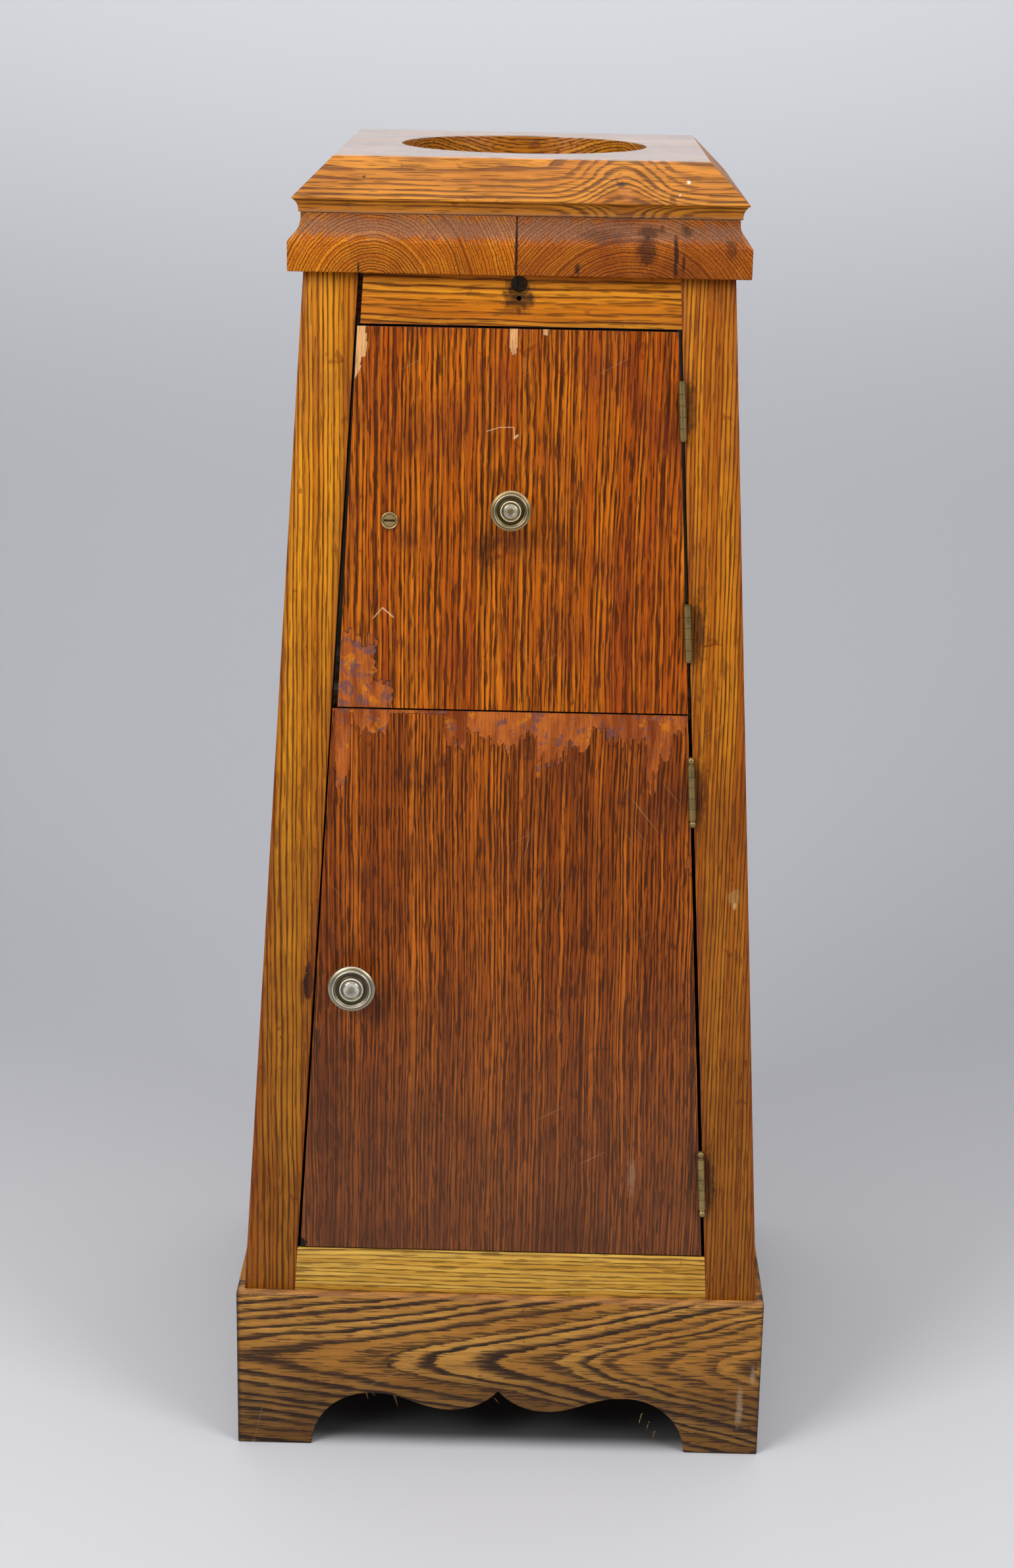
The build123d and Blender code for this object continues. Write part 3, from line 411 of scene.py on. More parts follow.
def scratchBand(x0, z0, x1, z1, width, strength):  # a fine pale scratch between two points of the face
    first, last = onFace(x0, z0), onFace(x1, z1)
    run = (last - first).normalized()
    side = run.cross(faceOut).normalized()
    start, end, level = first.dot(run), last.dot(run), first.dot(side)
    tests = (
        (side, level - width, level - width / 3),
        (side, level + width, level + width / 3),
        (run, start - width, start + width),
        (run, end + width, end - width),
    )
    return tests, (222, 186, 140), strength


def edgeBands(outward, corner):  # painted shade inside the door opening, and red-brown along the two edges
    flush = corner.dot(outward)
    inward = (outward, flush - 0.0375, flush - 0.0415)
    nearFront = (faceOut, frontDepth - 0.003, frontDepth - 0.0005)
    return (
        (((outward, flush - 0.007, flush - 0.001), nearFront), redEdge, 0.5),
        (((outward, flush - 0.034, flush - 0.041), nearFront), redEdge, 0.45),
        # painted shade deep inside the opening
        ((inward, (faceOut, frontDepth - 0.0008, frontDepth - 0.003)), shadeBlack, 0.93),
    )


# painted shade: faces a few millimetres behind the front, in the gaps round the doors, go near black
shadeBehindFace = (((faceOut, frontDepth - 0.0012, frontDepth - 0.0035),), shadeBlack, 0.85)
leftFoot = Vector((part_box("left_stile")[0].x, 0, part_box("left_stile")[0].z))
rightFoot = Vector((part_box("right_stile")[1].x, 0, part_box("right_stile")[0].z))
hingeStains = tuple(
    (onFace(x, z), (0.01, 0.03, 0.04), 0.8, (40, 26, 12), 0.75)
    for x, z in ((0.1305, 0.8795), (0.1455, 0.7075), (0.1495, 0.578), (0.1688, 0.2465))
)
leftStileLook = {
    "spots": (
        (onFace(-0.1607, 0.4125), (0.0042, 0.02, 0.017), 0.3, shadeBlack, 0.95),  # painted shade in the hole where the latch goes in
        (onFace(-0.158, 0.44), (0.006, 0.02, 0.05), 0.8, frameStain, 0.6),
    ),
    "bands": edgeBands(sideLeftOut, leftFoot),
}
rightStileLook = {
    "shift": (0.3, 0.11, 0.0), "ring": 0.0031, "light": (220, 140, 26), "middle": (184, 100, 10),
    "spots": hingeStains
    + (
        (onFace(0.182, 0.492), (0.0055, 0.03, 0.0085), 0.5, (166, 124, 72), 0.6),
        (onFace(0.183, 0.485), (0.002, 0.03, 0.004), 0.5, (206, 172, 126), 0.6),
    ),
    "bands": edgeBands(sideRightOut, rightFoot),
}
topRailLook = {
    "shift": (0.0, 0.96, 0.0), "pithAcross": 0.25, "pithDepth": 0.05, "ring": 0.0052, "wave": 0.007,
    "taper": 0.012, "light": (234, 150, 34), "middle": (204, 112, 12), "bands": (shadeBehindFace,),
    "spots": (
        (onFace(0.0, 0.966), (0.017, 0.02, 0.016), 0.7, (30, 16, 10), 0.85),
        (onFace(-0.128, 0.955), (0.004, 0.02, 0.03), 0.6, (30, 16, 10), 0.7),
    ),
}
bottomRailLook = {
    "shift": (0.4, 0.0, 0.0), "pithAcross": 0.5, "pithDepth": 0.1, "ring": 0.0037, "ragged": 0.3,
    "wave": 0.007, "taper": 0.01, "light": (226, 182, 84), "middle": (204, 150, 50),
    "line": (112, 66, 14), "lineStrength": 0.75, "bands": (shadeBehindFace,), "lowStrength": 0.0,
    "dirt": 0.18,
}
sideLook = {"shift": (0.6, 0.2, 0.0), "pithAcross": 0.02, "pithDepth": 0.1, "taper": 0.03}
backLook = {"shift": (0.1, 0.4, 0.0), "pithAcross": -0.03, "pithDepth": 0.12, "taper": 0.03}
woodMaterial("oakLeftStile", faceUp, acrossX, leftStileLook)
woodMaterial("oakRightStile", faceUp, acrossX, rightStileLook)
woodMaterial("oakTopRail", acrossX, -faceUp, topRailLook)
woodMaterial("oakBottomRail", acrossX, -faceUp, bottomRailLook)
woodMaterial("oakSides", sideRightUp, alongY, sideLook)
woodMaterial("oakBack", backUp, acrossX, backLook)
print("frame woods made", len(palette))

# The cap's boards. The upper two run across, the lower two run from front to back, so the
# lower band shows end grain.
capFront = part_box("cap_lower_left_board")[0].y
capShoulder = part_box("cap_lower_left_board")[0].z
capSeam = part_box("cap_upper_front_board")[0].z
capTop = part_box("cap_upper_front_board")[1].z
capLook = {
    "light": (212, 136, 30), "middle": (184, 106, 14), "line": (84, 38, 4), "ring": 0.0024,
    "ragged": 0.14, "wave": 0.0035, "lineShare": 0.5, "lowStrength": 0.0, "lineStrength": 0.7,
    "dirt": 0.3, "roughness": 0.36, "gloss": 0.22, "coat": 0.05, "glossTop": capTop,
    "pithDepth": -1.02,
    "bands": (
        # painted sheen: the top face is painted paler, as a grazing reflection
        (((upZ, capTop - 0.0011, capTop - 0.0004),), (196, 190, 184), 0.42),
        (((upZ, capSeam + 0.0032, capSeam + 0.001),), (150, 108, 76), 0.55),
    ),
}
nailMarks = tuple(
    ((x, capFront + back, capTop - down), reach, soft, tint, strength)
    for x, back, down, reach, soft, tint, strength in (
        (-0.1195, 0.022, 0.016, (0.003, 0.005, 0.003), 0.4, (36, 22, 14), 0.85),
        (0.1265, 0.022, 0.015, (0.003, 0.005, 0.0024), 0.3, (232, 226, 214), 0.85),
        (0.12, 0.013, 0.024, (0.0018, 0.005, 0.0018), 0.3, (232, 226, 214), 0.8),
        (0.08, 0.03, 0.024, (0.01, 0.05, 0.006), 0.9, (206, 128, 66), 0.6),
        (0.076, 0.03, 0.017, (0.0056, 0.05, 0.0026), 0.6, (58, 32, 22), 0.85),
    )
)
cracks = tuple(
    ((x, capFront, capShoulder + z), (wide, 0.03, tall), 0.6, (44, 22, 14), strength)
    for x, z, wide, tall, strength in (
        (0.118, 0.018, 0.0024, 0.022, 0.9),
        (0.124, 0.01, 0.0016, 0.01, 0.8),
        (0.096, 0.02, 0.011, 0.014, 0.7),
        (0.098, 0.034, 0.016, 0.006, 0.6),
        (0.126, 0.036, 0.006, 0.007, 0.6),
        (0.044, 0.006, 0.003, 0.006, 0.85),
        (0.062, 0.03, 0.026, 0.007, 0.4),
        (-0.122, 0.004, 0.001, 0.006, 0.9),
        (0.16, 0.022, 0.006, 0.01, 0.5),
    )
)
coveScuff = ((0.0, capFront + 0.006, capShoulder + 0.034), (0.5, 0.02, 0.0115), 0.7, (132, 98, 78), 0.62)
seamDirt = ((-0.0026, capFront, capShoulder + 0.02), (0.0016, 0.03, 0.06), 0.6, (40, 24, 14), 0.85)
endLook = {
    "light": (224, 136, 20), "middle": (198, 104, 6), "line": (108, 42, 0), "pore": (70, 30, 4),
    "ring": 0.0023, "wave": 0.004, "ragged": 0.12, "uneven": 1.4, "lineShare": 0.45,
    "lineStrength": 0.8, "streakStrength": 0.2, "rayStrength": 0.3, "poreLength": 0.03,
    "poreWidth": 0.0005, "poreStrength": 0.35, "lowStrength": 0.0, "dirt": 0.4, "cloud": 0.05,
    "bands": ((((upZ, capSeam - 0.0016, capSeam - 0.0002),), (196, 160, 128), 0.5),),
    "spots": (coveScuff, seamDirt) + cracks,
}
capFrontLook = {
    **capLook, "pithAcross": 0.1, "knot": (0.078, capFront + 0.016, 0.0), "knotSize": 0.03,
    "knotLift": 0.0112, "spots": nailMarks,
}
capRightLook = {
    **endLook, "light": (204, 116, 22), "middle": (168, 86, 10), "pithAcross": -0.085,
    "pithDepth": capShoulder - 0.05, "dirt": 0.6,
}
woodMaterial("oakCapFront", acrossX, alongY, capFrontLook)
woodMaterial("oakCapBack", acrossX, alongY, {**capLook, "pithAcross": -0.06})
woodMaterial(
    "oakCapLowerLeft", alongY, acrossX, {**endLook, "pithAcross": 0.112, "pithDepth": capShoulder - 0.016}
)
woodMaterial("oakCapLowerRight", alongY, acrossX, capRightLook)

plinthFront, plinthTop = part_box("plinth_front_board")[0].y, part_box("plinth_front_board")[1].z
plinthLook = {
    "light": (202, 146, 66), "middle": (176, 118, 46), "line": (52, 32, 20), "pore": (34, 22, 14),
    "stain": (92, 52, 24), "low": (38, 22, 18), "ring": 0.0078, "wave": 0.008, "ragged": 0.46,
    "uneven": 1.5, "lineShare": 0.56, "lineStrength": 0.95, "poreStrength": 0.7, "poreLength": 0.01,
    "taper": 0.17, "taperGrowth": 0.2, "lowTop": 0.095, "lowBottom": 0.02, "lowStrength": 1.4,
    "scratches": 0.6, "roughness": 0.46, "coat": 0.08, "relief": 0.0007,
}
plinthFrontLook = {
    **plinthLook, "pithAcross": 0.082, "pithDepth": -plinthFront + 0.014,
    "spots": (
        ((0.0, plinthFront, plinthTop), (9.0, 0.012, 0.003), 0.5, (178, 122, 72), 0.6),  # worn top edge
        ((0.204, plinthFront, 0.045), (0.004, 0.03, 0.026), 0.7, (190, 166, 138), 0.35),
        ((0.214, plinthFront, 0.075), (0.003, 0.03, 0.012), 0.7, (190, 166, 138), 0.3),
        # painted contact shadows where the feet meet the floor
        ((-0.19, plinthFront, 0.0), (0.05, 0.03, 0.004), 0.7, (30, 22, 16), 0.8),
        ((0.19, plinthFront, 0.0), (0.05, 0.03, 0.004), 0.7, (30, 22, 16), 0.8),
    ),
    "bands": (
        (((acrossX, -0.2165, -0.2205),), (34, 22, 16), 0.75),
        (((acrossX, 0.2175, 0.2205),), (44, 28, 18), 0.6),
    ),
}
plinthBackLook = {**plinthLook, "pithAcross": -0.05, "pithDepth": -plinthFront + 0.02, "taper": 0.07}
plinthSideLook = {**plinthLook, "pithAcross": 0.07, "pithDepth": 0.26, "taper": 0.12}
woodMaterial("oakPlinthFront", acrossX, -upZ, plinthFrontLook)
woodMaterial("oakPlinthBack", acrossX, upZ, plinthBackLook)
woodMaterial("oakPlinthSides", alongY, -upZ, plinthSideLook)
splinterLook = {"light": (206, 178, 132), "middle": (142, 110, 70), "lowStrength": 0.0, "gloss": 0.1}
woodMaterial("tornOak", acrossX, -upZ, splinterLook)

veneerLook = {
    "light": (222, 122, 16), "middle": (184, 84, 2), "line": (72, 24, 0), "pore": (46, 16, 0),
    "stain": (110, 34, 0), "low": (84, 56, 40), "ring": 0.004, "wave": 0.0065, "ragged": 0.5,
    "uneven": 1.7, "pithAcross": 0.6, "lineShare": 0.55, "lineStrength": 0.78,
    "streakStrength": 0.85, "poreLength": 0.01, "poreWidth": 0.0007, "poreStrength": 0.75,
    "dirt": 0.45, "cloud": 0.06, "scratches": 0.4, "lowStrength": 0.0, "roughness": 0.4,
    "coat": 0.05, "relief": 0.0005,
}
upperVeneerLook = {
    **veneerLook,
    "spots": (
        (onFace(-0.022, 0.77), (0.018, 0.03, 0.02), 1.0, (48, 18, 6), 0.6),
        (onFace(0.036, 0.775), (0.012, 0.03, 0.022), 1.0, (54, 22, 8), 0.45),
        (onFace(0.0, 0.776), (0.03, 0.03, 0.016), 1.0, (60, 26, 10), 0.5),
        (onFace(-0.086, 0.776), (0.014, 0.03, 0.012), 0.9, (64, 26, 8), 0.5),
        (onFace(-0.098, 0.83), (0.008, 0.03, 0.012), 0.9, (54, 22, 8), 0.5),
    ),
    "bands": [
        scratchBand(*scratch)
        for scratch in (
            (-0.0232, 0.8615, -0.013, 0.8648, 0.0005, 0.6),
            (-0.013, 0.8648, -0.002, 0.865, 0.0005, 0.6),
            (-0.002, 0.865, -0.0015, 0.8562, 0.0005, 0.8),
            (-0.0018, 0.8565, 0.0013, 0.8592, 0.0011, 0.9),
            (-0.1099, 0.7135, -0.1026, 0.722, 0.0007, 0.6),
            (-0.1026, 0.722, -0.0937, 0.7145, 0.0008, 0.75),
        )
    ],
}
lowerVeneerLook = {
    **veneerLook, "shift": (0.7, 0.23, 0.0), "ring": 0.0032, "light": (202, 106, 18),
    "middle": (154, 72, 6), "stain": (78, 32, 8), "dirt": 0.55, "lowTop": 0.5, "lowBottom": 0.2,
    "lowStrength": 1.0,
    "spots": (
        (onFace(-0.118, 0.395), (0.03, 0.03, 0.02), 1.0, (56, 28, 14), 0.5),
        (onFace(0.107, 0.25), (0.0045, 0.03, 0.03), 1.0, (176, 136, 104), 0.4),
        (onFace(-0.155, 0.33), (0.045, 0.03, 0.16), 1.0, (60, 34, 22), 0.35),
        (onFace(-0.17, 0.181), (0.01, 0.03, 0.0095), 0.2, (16, 11, 8), 0.97),
    ),
}
coreLook = {
    "light": (150, 92, 48), "middle": (118, 66, 32), "line": (74, 38, 20), "lowStrength": 0.0,
    "roughness": 0.7, "coat": 0.0, "ring": 0.009, "lineStrength": 0.4, "bands": (shadeBehindFace,),
}
innerLook = {
    "light": (206, 172, 122), "middle": (178, 140, 92), "line": (140, 100, 60),
    "pore": (104, 72, 44), "stain": (120, 88, 58), "ring": 0.006, "lineStrength": 0.45,
    "poreStrength": 0.35, "wave": 0.006, "lowStrength": 0.0, "roughness": 0.68, "coat": 0.0,
}
innerDoorLook = {**innerLook, "pithAcross": 0.0, "pithDepth": 0.26, "taper": 0.02}
woodMaterial("veneerUpperDoor", faceUp, acrossX, upperVeneerLook, bare=True)
woodMaterial("veneerLowerDoor", faceUp, acrossX, lowerVeneerLook, bare=True)
woodMaterial("doorCoreWood", faceUp, acrossX, coreLook)
woodMaterial("innerDoorWood", faceUp, acrossX, innerDoorLook)
woodMaterial("innerWoodAcross", acrossX, alongY, innerLook)
woodMaterial("innerWoodAlong", alongY, acrossX, innerLook)
woodMaterial("innerWoodUpright", upZ, acrossX, innerLook)
print("woods made", len(palette))


brassLook = {
    "base": (140, 118, 72), "bright": (178, 154, 100), "tarnish": (54, 42, 24), "tarnishShare": 0.6,
    "metalInDirt": 0.75, "cloud": 0.012, "grain": 2400.0, "scratches": 0.5, "roughness": 0.28,
    "relief": 0.00004, "bump": 0.3,
    "polishAndSheen": None,  # the tint of rubbed places and of painted reflection rings, on pieces that store this value
    "polishAndSheenShare": 0.8,
    "sunkShade": None,  # a test for what lies below a plane, such as a slot, and the tint of the painted shade there
}


def metalMaterial(name, changes):
    look = {**brassLook, **changes}
    shader, place = startMaterial(name)
    marks = useGroup(wear, {"place": place, "cloud": look["cloud"], "scratches": look["scratches"]})
    fine = noise(place, (look["grain"],) * 3, 4.0, 0.65)
    colour = mixColour(ramp(fine, 0.3, 0.7), look["base"], look["bright"])
    colour = cover(colour, [(marks["Dirt"], look["tarnishShare"], look["tarnish"])])
    rough = ramp(fine, 0.2, 0.8, look["roughness"], look["roughness"] + 0.2)
    metallic = ramp(marks["Dirt"], 0.0, 1.0, 1.0, look["metalInDirt"])
    if look["polishAndSheen"]:
        # brighter where rubbed and where a reflection or highlight is painted, tarnish in the low places
        polishAndSheen = stored(shader, "polishAndSheen")
        rubbedAndSheen = ramp(polishAndSheen, 0.5, 1.0) * look["polishAndSheenShare"]
        colour = mixColour(rubbedAndSheen, colour, look["polishAndSheen"])
        colour = cover(colour, [(ramp(polishAndSheen, 0.0, 0.45, 1.0, 0.0), 0.9, look["tarnish"])])
        rough = rough - rubbedAndSheen * 0.16
    if look["sunkShade"]:
        # painted shade in the slot: near black and not metal
        test, tint = look["sunkShade"]
        shadedBelow = beyond(place, test)
        colour = mixColour(shadedBelow, colour, tint)
        metallic = metallic * (1.0 - shadedBelow)
        rough = rough + shadedBelow * 0.4
    feed(shader, {"Base Color": colour, "Metallic": metallic, "Roughness": rough})
    addBump(shader, fine - marks["Scratch"] * 0.5, look["relief"], look["bump"])


lockFront = nodeOnFace("lock_plug")[:, 2].max() + frontDepth
plugLook = {
    "base": (190, 154, 96), "bright": (222, 190, 132), "tarnishShare": 0.3,
    "sunkShade": ((faceOut, lockFront - 0.0002, lockFront - 0.0007), (14, 10, 8)),
}
knobLook = {"tarnishShare": 0.2, "cloud": 0.03, "bump": 0.04}
upperKnobLook = {
    **knobLook, "base": (152, 130, 84), "bright": (168, 146, 98), "polishAndSheen": (222, 216, 198),
}
lowerKnobLook = {
    **knobLook, "base": (158, 146, 118), "bright": (176, 166, 140), "polishAndSheen": (224, 222, 214),
}
ironLook = {
    "base": (104, 98, 90), "bright": (140, 134, 124), "tarnish": (78, 50, 32), "metalInDirt": 0.4,
    "roughness": 0.45,
}
zincLook = {
    "base": (150, 154, 156), "bright": (186, 190, 190), "tarnish": (112, 112, 106), "cloud": 0.05,
    "grain": 60.0, "roughness": 0.42,
}
metalMaterial("agedBrass", {})
metalMaterial("lockPlugBrass", plugLook)
metalMaterial("upperKnobBrass", upperKnobLook)
metalMaterial("lowerKnobNickel", lowerKnobLook)
metalMaterial("lockRimBrass", {"polishAndSheen": (196, 166, 112), "tarnishShare": 0.35, "roughness": 0.34})
metalMaterial("dullIron", ironLook)
metalMaterial("dullZinc", zincLook)


def packingMaterial():
    shader, place = startMaterial("feltedPacking")
    tufts = noise(place, (240.0, 240.0, 240.0), 5.0, 0.7)
    strands = noise(place, (60.0, 900.0, 60.0), 3.0, 0.6, 1.5)
    colour = mixColour(ramp(tufts, 0.3, 0.7), (122, 104, 78), (172, 152, 118))
    colour = mixColour(ramp(strands, 0.55, 0.7, 0.0, 0.5), colour, (96, 76, 52))
    feed(shader, {"Base Color": colour, "Roughness": ramp(tufts, 0.0, 1.0, 0.85, 1.0)})
    addBump(shader, tufts + strands, 0.002)


packingMaterial()
print("metals and packing made")

finishes = {  # the pieces that keep the frame's own shape
    "innerWoodAcross": ("floor_board", "divider_shelf", "ice_rack_slats"),
    "innerWoodAlong": ("ice_rack_runners",),
    "innerWoodUpright": ("plinth_corner_blocks",),
    "innerDoorWood": ("upper_door_inner_panel", "lower_door_inner_panel"),
    "doorCoreWood": ("upper_door_core", "lower_door_core"),
    "agedBrass": (
        "lock_housing", "lock_nut", "hinge_stile_screws",
        "upper_hinge_stile_leaves", "upper_hinge_door_leaves", "upper_hinge_pins", "upper_hinge_door_screws",
        "lower_hinge_stile_leaves", "lower_hinge_door_leaves", "lower_hinge_pins", "lower_hinge_door_screws",
    ),
    "lockPlugBrass": ("lock_plug",),
    "dullIron": ("upper_knob_screw", "lock_arm", "latch_arm", "latch_nut", "latch_strike_plate"),
    "dullZinc": ("ice_chamber_lining", "food_chamber_lining", "drain_pipe", "drip_pan"),
    "feltedPacking": ("ice_chamber_insulation", "food_chamber_insulation", "floor_insulation"),
}
for finish, names in finishes.items():
    for name in names:
        materials = frame["nodes"][name].data.materials
        if not materials:
            materials.append(palette[finish])
        for index in range(len(materials)):
            materials[index] = palette[finish]

boards = {  # each board's material, and how far its edges are rubbed
    "plinth_front_board": ("oakPlinthFront", 0.0014),
    "plinth_back_board": ("oakPlinthBack", 0.0014),
    "plinth_left_board": ("oakPlinthSides", 0.0012),
    "plinth_right_board": ("oakPlinthSides", 0.0012),
    "left_stile": ("oakLeftStile", 0.0011),
    "right_stile": ("oakRightStile", 0.0011),
    "top_rail": ("oakTopRail", 0.0006),
    "bottom_rail": ("oakBottomRail", 0.0006),
    "left_side_panel": ("oakSides", 0.0008),
    "right_side_panel": ("oakSides", 0.0008),
    "back_panel": ("oakBack", 0.0008),
    "cap_upper_front_board": ("oakCapFront", 0.0013),
    "cap_upper_back_board": ("oakCapBack", 0.0013),
    "cap_lower_left_board": ("oakCapLowerLeft", 0.0012),
    "cap_lower_right_board": ("oakCapLowerRight", 0.0012),
}


def easeBoard(node, finish, width):  # a board's own shape with its hard edges rubbed round
    source = frame["nodes"][node]
    piece = bpy.data.objects.new(node + "_eased", source.data.copy())
    bpy.context.scene.collection.objects.link(piece)
    weld = piece.modifiers.new("weld", "WELD")
    weld.merge_threshold = 0.00001
    flat = piece.modifiers.new("flat", "DECIMATE")
    flat.decimate_type = "DISSOLVE"
    flat.angle_limit = math.radians(0.4)
    ease = piece.modifiers.new("ease", "BEVEL")
    ease.width = width
    ease.segments = 3
    ease.limit_method = "ANGLE"
    ease.angle_limit = math.radians(28)
    bpy.context.view_layer.update()
    solid = bpy.data.meshes.new_from_object(piece.evaluated_get(bpy.context.evaluated_depsgraph_get()))
    piece.modifiers.clear()
    piece.data = solid
    solid.materials.clear()
    solid.materials.append(palette[finish])
    solid.polygons.foreach_set("use_smooth", np.ones(len(solid.polygons), bool))
    solid.set_sharp_from_angle(angle=math.radians(32))
    solid.update()
    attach(piece, source["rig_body"])
    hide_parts(node)


for node, (finish, width) in boards.items():
    easeBoard(node, finish, width)
print("boards eased", len(boards))


def meshPiece(name, points, faces, material):  # a smooth mesh, given its points as whole arrays
    mesh = bpy.data.meshes.new(name)
    mesh.from_pydata(points.tolist(), [], faces)
    mesh.materials.append(palette[material])
    mesh.polygons.foreach_set("use_smooth", np.ones(len(mesh.polygons), bool))
    mesh.update()
    piece = bpy.data.objects.new(name, mesh)
    bpy.context.scene.collection.objects.link(piece)
    return piece


def gridFaces(grid):  # the quads of a grid of point numbers
    corners = (grid[:-1, :-1], grid[:-1, 1:], grid[1:, 1:], grid[1:, :-1])
    return np.stack(corners, -1).reshape(-1, 4).tolist()


def storeValue(piece, label, values):
    attribute = piece.data.attributes.new(label, "FLOAT", "POINT")
    attribute.data.foreach_set("value", values.astype(np.float32))


def unevenSteps(length, coarse, fine, zones):
    # Places from nought to length, coarse apart, and fine apart inside the zones.
    steps = np.linspace(0, length, int(round(length / coarse)) + 1)
    for low, high in zones:
        low, high = max(low, 0.0), min(high, length)
        inside = np.linspace(low, high, int(round((high - low) / fine)) + 1)
        steps = np.concatenate((steps[(steps < low - fine / 2) | (steps > high + fine / 2)], inside))
    return np.unique(np.round(steps, 7))


def fibreJitter(x, width, seed):  # an uneven value for each fibre bundle across the door
    draw = np.random.default_rng(seed).random(4096)
    return draw[np.floor((x + 1.0) / width).astype(int) % 4096]


def lostDepth(x, losses, seed):
    # How far down from the top edge the veneer is gone: the deepest loss over each x, with
    # every bundle of fibres broken off at its own length.
    depth = np.zeros_like(x)
    for left, right, deep, square in losses:
        middle, half = (left + right) / 2, (right - left) / 2
        shape = np.clip(1 - np.abs((x - middle) / half) ** square, 0, None) ** 0.5
        depth = np.maximum(depth, deep * shape)
    return depth * (0.72 + 0.4 * fibreJitter(x, 0.0021, seed) + 0.16 * fibreJitter(x, 0.0009, seed + 1))


lockPoints = nodeOnFace("lock_housing")
lockMiddle = (lockPoints.min(0) + lockPoints.max(0)) / 2
lockReach = (lockPoints[:, 0].max() - lockPoints[:, 0].min()) / 2
lockUp = lockMiddle[1] - nodeOnFace("upper_door_veneer")[:, 1].min()
veneer = {
    "thickness": 0.001,
    "lossShare": 0.72,  # how much of the thickness a loss takes away
    "tear": 0.0009,  # the width over which a torn edge falls
    "ripple": 0.00004,
    "wellDepth": 0.012,  # of the hole for the lock
    "wellShare": 0.82,
}
upperVeneer = {
    "seed": 11,
    "losses": ((-0.0066, -0.0004, 0.0175, 8), (0.019, 0.0222, 0.0055, 8)),  # left, right, depth, squareness
    "columns": lambda width: unevenSteps(width, 0.003, 0.0009, ((0.0, 0.045), (0.11, 0.16))),
    "rows": lambda height: unevenSteps(
        height, 0.003, 0.0007, ((0.0, 0.068), (lockUp - 0.009, lockUp + 0.009), (height - 0.044, height))
    ),
    "edgeStrips": ((0.0072, 0.04),),  # so wide and so tall
    "cornerPatches": ((0.0275, 0.056), (0.042, 0.021)),
    "wells": ((lockMiddle[0], lockMiddle[1], lockReach * veneer["wellShare"]),),
    "sideChips": (),
    "paleShare": 1.0,
}
lowerVeneer = {
    "seed": 29,
    "losses": (
        (-0.143, 0.14, 0.0028, 60),
        (-0.14, -0.127, 0.064, 10),
        (-0.1255, -0.0965, 0.018, 6),
        (-0.053, -0.041, 0.024, 6),
        (-0.0425, -0.035, 0.03, 8),
        (-0.037, -0.02, 0.017, 6),
        (-0.024, -0.002, 0.024, 6),
        (-0.006, 0.008, 0.032, 6),
        (0.006, 0.023, 0.019, 6),
        (0.0205, 0.0252, 0.062, 10),
        (0.0215, 0.047, 0.042, 4),
        (0.042, 0.065, 0.026, 6),
        (0.06, 0.079, 0.012, 6),
        (0.074, 0.112, 0.023, 6),
        (0.108, 0.119, 0.056, 8),
        (0.115, 0.129, 0.037, 4),
        (0.125, 0.14, 0.014, 4),
    ),
    "columns": lambda width: unevenSteps(width, 0.0009, 0.0009, ()),
    "rows": lambda height: unevenSteps(height, 0.004, 0.0011, ((height - 0.075, height),)),
    "edgeStrips": (),
    "cornerPatches": (),
    "wells": (),
    "sideChips": ((0.378, 0.01, 0.0045),),  # distance up the slope, half height and width
    "paleShare": 0.0,
}


